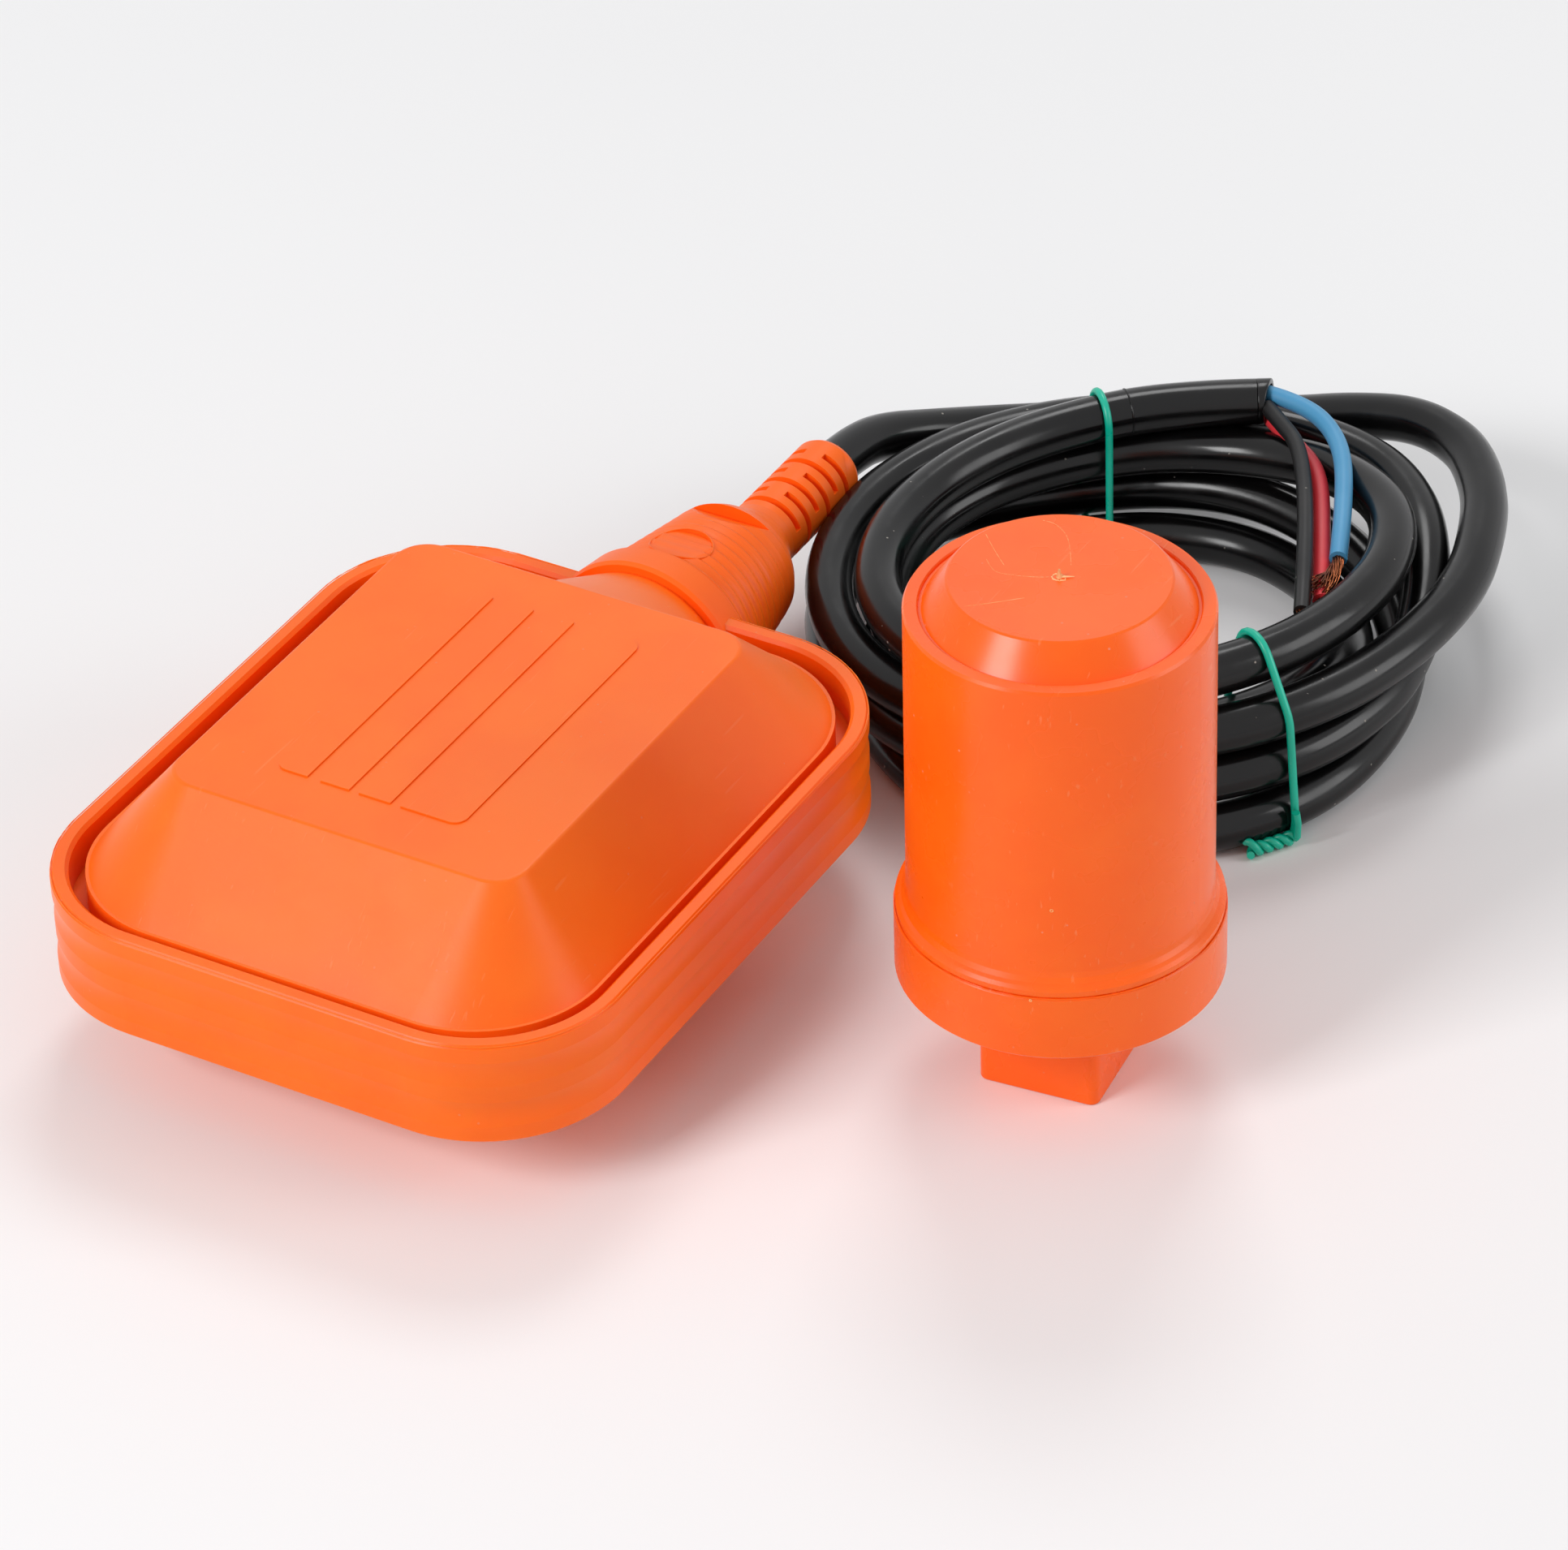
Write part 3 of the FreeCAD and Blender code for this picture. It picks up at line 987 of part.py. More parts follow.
def cable_coil(tubes):
    """Outer form of the tied coil: a low oval of loose turns round a higher stack with an open eye."""
    cut_height = COIL_HEIGHT + 2 * OVERCUT
    eye = oval_block(COIL_EYE_CENTRE, COIL_EYE, -OVERCUT, cut_height)
    stack = oval_block(COIL_EYE_CENTRE, COIL_STACK, 0, COIL_HEIGHT).cut(eye)
    stack = stack.makeFillet(COIL_EDGE, level_rims(stack))
    core = oval_block(COIL_EYE_CENTRE, COIL_STACK, -OVERCUT, cut_height)
    loose = oval_block(COIL_LOOSE_CENTRE, COIL_LOOSE, 0, COIL_LOOSE_HEIGHT)
    loose = loose.makeFillet(COIL_EDGE, level_rims(loose)).cut(core)
    coil = stack.fuse(loose).cut(jacket_gap())
    sleeve = cylinder(SLEEVE + BOOT_CLEAR, SLEEVE_LENGTH, BOOT_MOUTH, V(0, -1, 0))
    grooves = [tie_groove(place, angle) for name, place, angle in TIE_PLACES]
    keep("cable_coil", coil.cut([sleeve] + grooves + tubes))


def tie_groove(place, angle):
    """The groove under the coil that a tie's wire lies in."""
    eye, stack, loose = tie_reach(place, angle)
    half = TIE_DIAMETER / 2 + TIE_GAP
    spare = 2 * TIE_DIAMETER
    groove = block((eye - spare, -half, -OVERCUT), (loose + spare, half, TIE_DIAMETER + TIE_GAP))
    groove.rotate(ORIGIN, Z_AXIS, angle)
    groove.translate(FLOOR_UNDER_FLOAT + V(place[0], place[1], 0))
    return groove


def level_rims(block_shape):
    """The edges that run round the top and the bottom of an oval block."""
    return [edge for edge in block_shape.Edges if edge.BoundBox.ZLength < 0.01]


def jacket_gap():
    """The wedge of the top turn that is missing between the jacket's end and the next turn."""
    reach = 80.0
    cut = V(*JACKET_CUT, 0)
    square = V(-math.sin(math.radians(JACKET_CUT_TURN)), math.cos(math.radians(JACKET_CUT_TURN)), 0)
    far = V(*JACKET_STEP_END, 0)
    radial = (far - V(*COIL_EYE_CENTRE, 0)).normalize()
    offset = cut - far
    along = (offset.x * square.y - offset.y * square.x) / (radial.x * square.y - radial.y * square.x)
    apex = far + radial * along
    lift = FLOOR_UNDER_FLOAT + V(0, 0, COIL_HEIGHT - JACKET_STEP)
    corners = [lift + apex, lift + far + radial * reach, lift + cut + square * reach]
    return prism(corners, V(0, 0, 2 * JACKET_STEP))


def free_cable():
    """The tied coil, the stretch that leads to it from the boot, and the three bared cores."""
    lead = [BOOT_MOUTH + V(*point) for point in LEAD_ROUTE]
    tubes = {"cable_lead": tube(lead, CABLE_RADIUS, "cable_lead")}
    jacket_end = FLOOR_UNDER_FLOAT + V(JACKET_CUT[0], JACKET_CUT[1], COIL_HEIGHT - CABLE_RADIUS)
    for name, offsets in CORE_ROUTES.items():
        tubes[name] = tube([jacket_end + V(*offset) for offset in offsets], CORE_RADIUS, name)
    cable_coil(list(tubes.values()))
    for name, shape in tubes.items():
        keep(name, shape)


def oval_reach(centre, half_axes, start, way, side):
    """Distance from start along the unit vector way to the oval, at its near (-1) or far (1) side."""
    turn = math.radians(-COIL_TURN)
    cos_turn, sin_turn = math.cos(turn), math.sin(turn)

    def into_oval(x, y):
        return ((x * cos_turn - y * sin_turn) / half_axes[0], (x * sin_turn + y * cos_turn) / half_axes[1])

    px, py = into_oval(start[0] - centre[0], start[1] - centre[1])
    qx, qy = into_oval(way[0], way[1])
    a = qx * qx + qy * qy
    b = 2 * (px * qx + py * qy)
    c = px * px + py * py - 1
    return (-b + side * math.sqrt(b * b - 4 * a * c)) / (2 * a)


def tie_reach(place, angle):
    """Distances along a tie's direction from its point to the eye, the stack's and the coil's outside."""
    way = (math.cos(math.radians(angle)), math.sin(math.radians(angle)))
    eye = -oval_reach(COIL_EYE_CENTRE, COIL_EYE, place, (-way[0], -way[1]), -1)
    stack = oval_reach(COIL_EYE_CENTRE, COIL_STACK, place, way, 1)
    loose = oval_reach(COIL_LOOSE_CENTRE, COIL_LOOSE, place, way, 1)
    return eye, stack, loose


def wire_ties():
    """Two loops of covered wire round the coil's stepped section, with their ends twisted on the floor."""
    radius = TIE_DIAMETER / 2
    off = radius + TIE_GAP
    for name, place, angle in TIE_PLACES:
        eye, stack, loose = tie_reach(place, angle)
        middle, high = COIL_LOOSE_HEIGHT + off, COIL_HEIGHT + off
        section = [(eye - off, radius, TIE_FLOOR_BEND), (loose + off, radius, TIE_FLOOR_BEND)]
        if loose - stack > 2 * TIE_BEND + TIE_DIAMETER:
            section += [(loose + off, middle, TIE_BEND), (stack + off, middle, TIE_BEND),
                        (stack + off, high, TIE_BEND)]
        else:
            section.append((loose + off, high, TIE_BEND))
        section.append((eye - off, high, TIE_BEND))
        outward = V(math.cos(math.radians(angle)), math.sin(math.radians(angle)), 0)
        top_point = FLOOR_UNDER_FLOAT + V(place[0], place[1], 0)
        corners = [top_point + outward * across + V(0, 0, z) for across, z, bend in section]
        loop = wire_loop(corners, [bend for across, z, bend in section], radius)
        heading = math.radians(angle - 90 + TIE_TWIST_LEAN)
        twist_radius = TIE_TWIST_DIAMETER / 2
        twist_start = top_point + outward * (loose + TIE_GAP + twist_radius) + V(0, 0, twist_radius)
        twist = cylinder(twist_radius, TIE_TWIST, twist_start, V(math.cos(heading), math.sin(heading), 0))
        keep(name, loop.fuse(twist))


def wire_loop(corners, bends, radius):
    """A round wire bent into a closed loop of straight runs and square corners."""
    pieces = []
    count = len(corners)
    for index in range(count):
        following = (index + 1) % count
        before, corner, after = corners[index - 1], corners[index], corners[following]
        bend = bends[index]
        back, ahead = (before - corner).normalize(), (after - corner).normalize()
        entry, leave = corner + back * bend, corner + ahead * bend
        section = Part.Face(Part.Wire([Part.makeCircle(radius, entry, back)]))
        pieces.append(section.revolve(corner + (back + ahead) * bend, ahead.cross(back), 90))
        run = (after - corner).Length - bend - bends[following]
        pieces.append(cylinder(radius, run, leave, ahead))
    return pieces[0].multiFuse(pieces[1:])


# ---------------------------------------------------------------- build and export

def build():
    """Make every piece."""
    float_shells()
    rim_band()
    cable_boot()
    cable_entry()
    ball_channel()
    switch_case()
    terminals()
    moving_contact()
    lever_and_plunger()
    inner_leads()
    inside, base, ceiling = weight_body()
    weight_cap(inside, base)
    weight_ballast(inside, base, ceiling)
    free_cable()
    wire_ties()


build()
print("ball travel", round(ball_travel(), 3), "lever swing", LEVER_SWING,
      "contact swing", round(math.degrees(contact_swing()), 3))
for piece_name, piece in PIECES.items():
    box = piece.BoundBox
    spans = ((box.XMin, box.XMax), (box.YMin, box.YMax), (box.ZMin, box.ZMax))
    print(f"{piece_name:20s} solids {len(piece.Solids)} valid {piece.isValid()} volume {piece.Volume:10.2f}",
          " ".join(f"{low:8.2f}..{high:7.2f}" for low, high in spans))
    piece.exportStep(f"parts/{piece_name}.step")
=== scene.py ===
"""Dresses a float level switch, its loose counterweight and its tied coil of cable.

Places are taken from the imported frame's boxes. Sizes are in millimetres and become metres in mm().
"""

import logging
import math
import random
from dataclasses import dataclass, field
from enum import Enum
from typing import Callable, Iterable, Sequence

import bmesh
import bpy
from mathutils import Matrix, Vector

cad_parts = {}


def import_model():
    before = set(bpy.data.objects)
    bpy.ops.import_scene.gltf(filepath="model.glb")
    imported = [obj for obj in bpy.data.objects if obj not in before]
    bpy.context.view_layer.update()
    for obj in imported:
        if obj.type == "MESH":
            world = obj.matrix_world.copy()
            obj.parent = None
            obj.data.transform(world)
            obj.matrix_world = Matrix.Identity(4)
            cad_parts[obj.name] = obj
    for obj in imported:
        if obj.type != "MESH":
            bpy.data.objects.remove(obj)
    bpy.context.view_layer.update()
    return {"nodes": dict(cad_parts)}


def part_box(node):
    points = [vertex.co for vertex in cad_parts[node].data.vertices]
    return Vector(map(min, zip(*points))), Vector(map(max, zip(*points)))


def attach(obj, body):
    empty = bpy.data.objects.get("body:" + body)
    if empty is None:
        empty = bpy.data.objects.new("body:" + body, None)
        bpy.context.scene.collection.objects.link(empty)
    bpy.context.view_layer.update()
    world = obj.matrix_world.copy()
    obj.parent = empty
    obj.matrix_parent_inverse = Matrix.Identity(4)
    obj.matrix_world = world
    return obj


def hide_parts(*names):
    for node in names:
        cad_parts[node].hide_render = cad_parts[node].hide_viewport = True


LOG = logging.getLogger("level_switch")
MM = 0.001
Triple = tuple[float, float, float]


def mm(x: float, y: float, z: float) -> Vector:
    """Returns a place given in millimetres as a vector in metres."""
    return Vector((x, y, z)) * MM


def linear(colour: Triple) -> tuple[float, float, float, float]:
    """Turns a display colour into the shader's linear one.

    Args:
        colour: Red, green and blue from 0 to 255.

    Returns:
        The same colour as linear red, green, blue and a full alpha.
    """
    parts = []
    for value in colour:
        share = value / 255
        parts.append(share / 12.92 if share <= 0.04045 else ((share + 0.055) / 1.055) ** 2.4)
    return (parts[0], parts[1], parts[2], 1.0)


# ---------------------------------------------------------------- finishes


class Grain(Enum):
    """How a finish is worked at the scale of a fingertip."""

    MOULDED = "moulded"
    EXTRUDED = "extruded"
    BRUSHED = "brushed"
    CAST = "cast"
    POLISHED = "polished"


class Graph:
    """One material's nodes, added one after another."""

    def __init__(self, name: str) -> None:
        """Starts an empty material with its output and its surface shader.

        Args:
            name: The material's name.
        """
        self.material = bpy.data.materials.new(name)
        self.material.use_nodes = True
        self.tree = self.material.node_tree
        self.tree.nodes.clear()
        self.output = self.tree.nodes.new("ShaderNodeOutputMaterial")
        self.shader = self.tree.nodes.new("ShaderNodeBsdfPrincipled")
        self.tree.links.new(self.shader.outputs["BSDF"], self.output.inputs["Surface"])
        self.place = self.tree.nodes.new("ShaderNodeTexCoord").outputs["Object"]

    def feed(self, socket: bpy.types.NodeSocket, value: object) -> None:
        """Links a socket's source to it, or sets it to a number or a colour.

        Args:
            socket: The input to feed.
            value: An output socket, or a plain value.
        """
        if isinstance(value, bpy.types.NodeSocket):
            self.tree.links.new(value, socket)
        else:
            socket.default_value = value

    def noise(self, scale: float, detail: float = 2.0, rough: float = 0.5,
              place: bpy.types.NodeSocket | None = None, warp: float = 0.0) -> bpy.types.NodeSocket:
        """Adds a noise pattern.

        Args:
            scale: Patches to the metre.
            detail: Octaves of finer noise.
            rough: Strength of the finer octaves.
            place: Coordinates, or the object's own.
            warp: Distortion of the pattern.

        Returns:
            The pattern's value.
        """
        node = self.tree.nodes.new("ShaderNodeTexNoise")
        self.feed(node.inputs["Vector"], place or self.place)
        node.inputs["Scale"].default_value = scale
        node.inputs["Detail"].default_value = detail
        node.inputs["Roughness"].default_value = rough
        node.inputs["Distortion"].default_value = warp
        return node.outputs[0]

    def stretched(self, factors: Triple, turn: Triple = (0, 0, 0)) -> bpy.types.NodeSocket:
        """Turns the object's coordinates and scales them by three factors.

        Args:
            factors: The scale along each axis.
            turn: The turn about each axis in radians.

        Returns:
            The new coordinates.
        """
        node = self.tree.nodes.new("ShaderNodeMapping")
        self.feed(node.inputs["Vector"], self.place)
        node.inputs["Rotation"].default_value = turn
        node.inputs["Scale"].default_value = factors
        return node.outputs[0]

    def span(self, value: bpy.types.NodeSocket, low: float, high: float,
             start: float, end: float) -> bpy.types.NodeSocket:
        """Maps a value smoothly from one range to another.

        Args:
            value: The value to map.
            low: Where the source range starts.
            high: Where it ends.
            start: The result at low.
            end: The result at high.

        Returns:
            The mapped value.
        """
        node = self.tree.nodes.new("ShaderNodeMapRange")
        node.interpolation_type = "SMOOTHSTEP"
        self.feed(node.inputs[0], value)
        for index, number in enumerate((low, high, start, end), start=1):
            node.inputs[index].default_value = number
        return node.outputs[0]

    def math(self, kind: str, first: object, second: object) -> bpy.types.NodeSocket:
        """Adds one operation on two values.

        Args:
            kind: The operation's name.
            first: Its first value.
            second: Its second value.

        Returns:
            The result.
        """
        node = self.tree.nodes.new("ShaderNodeMath")
        node.operation = kind
        self.feed(node.inputs[0], first)
        self.feed(node.inputs[1], second)
        return node.outputs[0]

    def blend(self, share: bpy.types.NodeSocket, first: object, second: object) -> bpy.types.NodeSocket:
        """Mixes two colours.

        Args:
            share: How much of the second colour shows.
            first: The colour at 0.
            second: The colour at 1.

        Returns:
            The mixed colour.
        """
        node = self.tree.nodes.new("ShaderNodeMix")
        node.data_type = "RGBA"
        self.feed(node.inputs[0], share)
        self.feed(node.inputs[6], first)
        self.feed(node.inputs[7], second)
        return node.outputs[2]

    def hairlines(self, scale: float, turn: Triple) -> bpy.types.NodeSocket:
        """Adds fine, short, nearly straight scratches in one direction.

        Args:
            scale: Scratches to the metre, across them.
            turn: How the scratches lie, as angles in radians.

        Returns:
            1 on a scratch and 0 elsewhere.
        """
        place = self.stretched((1.0, 0.035, 0.3), turn)
        strokes = self.noise(scale, 1.0, 0.4, place, 0.15)
        patch = self.span(self.noise(scale * 0.06, 2.0), 0.52, 0.60, 0.0, 1.0)
        return self.math("MULTIPLY", self.span(strokes, 0.70, 0.76, 0.0, 1.0), patch)

    def specks(self, scale: float, size: float) -> bpy.types.NodeSocket:
        """Scatters specks of dust.

        Args:
            scale: Places for a speck to the metre.
            size: A speck's radius, as a share of a place.

        Returns:
            1 on a speck and 0 between specks.
        """
        node = self.tree.nodes.new("ShaderNodeTexVoronoi")
        self.feed(node.inputs["Vector"], self.place)
        node.inputs["Scale"].default_value = scale
        dot = self.span(node.outputs["Distance"], size * 0.6, size, 1.0, 0.0)
        rare = self.span(self.noise(scale * 0.37, 1.0), 0.58, 0.62, 0.0, 1.0)
        return self.math("MULTIPLY", dot, rare)

    def bump(self, height: bpy.types.NodeSocket, depth: float,
             under: bpy.types.NodeSocket | None = None) -> bpy.types.NodeSocket:
        """Adds a relief to the surface.

        Args:
            height: The relief, from 0 to 1.
            depth: Its depth in metres.
            under: An earlier relief to add it to.

        Returns:
            The bent normal.
        """
        node = self.tree.nodes.new("ShaderNodeBump")
        node.inputs["Strength"].default_value = 1.0
        node.inputs["Distance"].default_value = depth
        self.feed(node.inputs["Height"], height)
        if under is not None:
            self.feed(node.inputs["Normal"], under)
        return node.outputs[0]


@dataclass(frozen=True)
class Finish:
    """A solid finish: a colour that wanders a little, its gloss and its grain."""

    name: str
    slot: str
    colour: Triple
    blush: Triple
    grain: Grain
    roughness: float
    spread: float = 0.08
    patch: float = 45.0
    depth: float = 0.02
    waves: float = 0.0
    metal: float = 0.0
    glow: float = 0.0
    level: float = 0.5
    scratch: float = 0.0
    dust: float = 0.0
    rib_pitch: float = 0.0

    def material(self) -> bpy.types.Material:
        """Makes the finish's material the first time it is asked for.

        Returns:
            The material.
        """
        made = bpy.data.materials.get(self.name)
        if made is not None:
            return made
        graph = Graph(self.name)
        patches = graph.noise(self.patch, 4.0, 0.55)
        share = graph.span(patches, 0.36, 0.66, 0.0, 1.0)
        colour = graph.blend(share, linear(self.colour), linear(self.blush))
        gloss = graph.span(graph.noise(self.patch * 1.7, 3.0, 0.6), 0.3, 0.7,
                           self.roughness - self.spread, self.roughness + self.spread)
        normal = self.relief(graph)
        if self.scratch:
            lines = graph.math("MAXIMUM", graph.hairlines(1500.0, (0.2, 0.4, 0.5)),
                               graph.hairlines(1900.0, (0.7, -0.3, -0.9)))
            share = graph.math("MULTIPLY", lines, self.scratch)
            colour = graph.blend(share, colour, linear(self.pale()))
            normal = graph.bump(graph.math("SUBTRACT", 1.0, lines), 0.00001, normal)
        if self.dust:
            dots = graph.specks(420.0, 0.10)
            colour = graph.blend(graph.math("MULTIPLY", dots, self.dust), colour, linear((205, 200, 190)))
            gloss = graph.math("MAXIMUM", gloss, graph.math("MULTIPLY", dots, 0.8))
        shader = graph.shader.inputs
        graph.feed(shader["Base Color"], colour)
        graph.feed(shader["Roughness"], gloss)
        graph.feed(shader["Normal"], normal)
        shader["Metallic"].default_value = self.metal
        shader["Specular IOR Level"].default_value = self.level
        if self.glow:
            shader["Subsurface Weight"].default_value = self.glow
            shader["Subsurface Radius"].default_value = (1.0, 0.35, 0.12)
            shader["Subsurface Scale"].default_value = 0.003
        return graph.material

    def pale(self) -> Triple:
        """Returns the finish's colour as a fresh scratch shows it."""
        return tuple(value + (255 - value) * 0.45 for value in self.colour)

    def relief(self, graph: Graph) -> bpy.types.NodeSocket:
        """Adds the grain that the finish's making leaves.

        Args:
            graph: The material's nodes.

        Returns:
            The bent normal.
        """
        if self.grain is Grain.BRUSHED:
            pattern = graph.noise(900.0, 3.0, 0.6, graph.stretched((1.0, 14.0, 1.0), (0.3, 0.2, 0.6)))
        elif self.grain is Grain.EXTRUDED:
            pattern = graph.noise(1400.0, 2.0, 0.5)
        elif self.grain is Grain.CAST:
            pattern = graph.noise(1100.0, 6.0, 0.7, warp=0.4)
        elif self.grain is Grain.POLISHED:
            pattern = graph.noise(500.0, 1.0, 0.4)
        else:
            pattern = graph.noise(2600.0, 3.0, 0.6)
        normal = graph.bump(pattern, self.depth * MM)
        if self.waves:
            normal = graph.bump(graph.noise(38.0, 1.0, 0.3), self.waves * MM, normal)
        if self.rib_pitch:
            normal = graph.bump(self.ribs(graph), 0.32 * MM, normal)
        return normal

    def ribs(self, graph: Graph) -> bpy.types.NodeSocket:
        """Adds soft rings across Y over the boot's cone, from behind its lip to its notch.

        Args:
            graph: The material's nodes.

        Returns:
            The rings' height, from 0 to 1.
        """
        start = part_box("cable_boot")[0].y + 7.5 * MM
        axes = graph.tree.nodes.new("ShaderNodeSeparateXYZ")
        graph.feed(axes.inputs[0], graph.place)
        along = graph.math("SUBTRACT", axes.outputs[1], start)
        turns = graph.math("MULTIPLY", along, math.tau / (self.rib_pitch * MM))
        wave = graph.math("COSINE", turns, 0.0)
        wave = graph.span(wave, -1.0, 1.0, 0.0, 1.0)
        begin = graph.span(along, 0.0, 0.6 * MM, 0.0, 1.0)
        finish = graph.span(along, 11.0 * MM, 19.0 * MM, 1.0, 0.0)
        side = graph.span(axes.outputs[2], 30.0 * MM, 40.0 * MM, 1.0, 0.1)
        stretch = graph.math("MULTIPLY", begin, finish)
        return graph.math("MULTIPLY", graph.math("MULTIPLY", wave, side), stretch)


FLOAT_SHELL = Finish("float_shell_orange", "float_plastic", (255, 113, 20), (253, 107, 16), Grain.MOULDED,
                     0.39, spread=0.025, depth=0.008, waves=0.02, glow=0.20, level=0.30, scratch=0.10,
                     dust=0.15)
RIM_BAND = Finish("rim_band_orange", "rim_plastic", (255, 111, 14), (253, 105, 11), Grain.MOULDED, 0.33,
                  spread=0.02, depth=0.005, waves=0.02, glow=0.35, level=0.28, scratch=0.02, dust=0.15)
BOOT = Finish("boot_orange", "boot_plastic", (254, 106, 15), (251, 101, 12), Grain.MOULDED, 0.42,
              spread=0.03, depth=0.010, waves=0.02, glow=0.12, level=0.28, dust=0.1, rib_pitch=2.45)
WEIGHT = Finish("weight_orange", "weight_plastic", (255, 103, 14), (253, 97, 10), Grain.MOULDED, 0.28,
                spread=0.03, depth=0.005, waves=0.012, glow=0.12, level=0.32, scratch=0.18, dust=0.25)
GATE = Finish("gate_mark_pale", "weight_plastic", (255, 200, 140), (240, 158, 84), Grain.CAST, 0.6,
              depth=0.02)
JACKET = Finish("jacket_black", "cable_jacket", (8, 8, 9), (12, 11, 11), Grain.EXTRUDED, 0.21,
                spread=0.06, patch=60.0, depth=0.003, waves=0.16, dust=0.5, level=0.34)
SEAL = Finish("seal_black", "seal_rubber", (30, 30, 31), (40, 39, 38), Grain.CAST, 0.62, depth=0.015)
WHITE = Finish("inner_white", "white_plastic", (226, 225, 219), (216, 214, 206), Grain.MOULDED, 0.42,
               depth=0.008, waves=0.2, glow=0.08)
PLATED = Finish("plated_steel", "plated_steel", (198, 198, 190), (186, 186, 184), Grain.BRUSHED, 0.32,
                metal=1.0, depth=0.008)
BALL = Finish("ball_steel", "ball_steel", (202, 203, 206), (190, 191, 196), Grain.POLISHED, 0.10,
              spread=0.04, metal=1.0, depth=0.002, scratch=0.2)
SWITCH_BODY = Finish("switch_black", "switch_plastic", (44, 44, 47), (52, 51, 53), Grain.MOULDED, 0.45,
                     depth=0.014)
SWITCH_COVER = Finish("switch_cover_red", "cover_plastic", (112, 34, 28), (100, 30, 26), Grain.MOULDED,
                      0.40, depth=0.012)
CONTACT = Finish("contact_brass", "contact_metal", (214, 184, 118), (200, 168, 104), Grain.BRUSHED, 0.28,
                 metal=1.0, depth=0.006)
LEVER = Finish("lever_steel", "lever_steel", (200, 202, 204), (186, 188, 192), Grain.BRUSHED, 0.26,
               metal=1.0, depth=0.006)
PLUNGER = Finish("plunger_red", "plunger_plastic", (206, 48, 38), (196, 42, 34), Grain.MOULDED, 0.24,
                 depth=0.005)
IRON = Finish("cast_iron", "ballast_iron", (92, 88, 84), (112, 84, 66), Grain.CAST, 0.62, metal=0.85,
              depth=0.10)
CORE_BLUE = Finish("core_blue_skin", "core_blue", (68, 146, 190), (78, 152, 196), Grain.EXTRUDED, 0.40,
                   depth=0.008, waves=0.1, glow=0.06, dust=0.2)
CORE_RED = Finish("core_red_skin", "core_red", (224, 50, 60), (228, 60, 68), Grain.EXTRUDED, 0.42,
                  depth=0.008, waves=0.1, glow=0.06, dust=0.2)
CORE_BLACK = Finish("core_black_skin", "core_black", (20, 20, 21), (26, 25, 25), Grain.EXTRUDED, 0.42,
                    depth=0.008, waves=0.1, level=0.32, dust=0.3)
COPPER = Finish("copper_strands", "contact_metal", (156, 88, 54), (100, 56, 36), Grain.BRUSHED, 0.36,
                patch=900.0, metal=1.0, depth=0.01)
TIE = Finish("tie_teal", "tie_plastic", (0, 178, 148), (6, 188, 158), Grain.EXTRUDED, 0.34,
             patch=120.0, depth=0.01, glow=0.05)


# ---------------------------------------------------------------- the bench


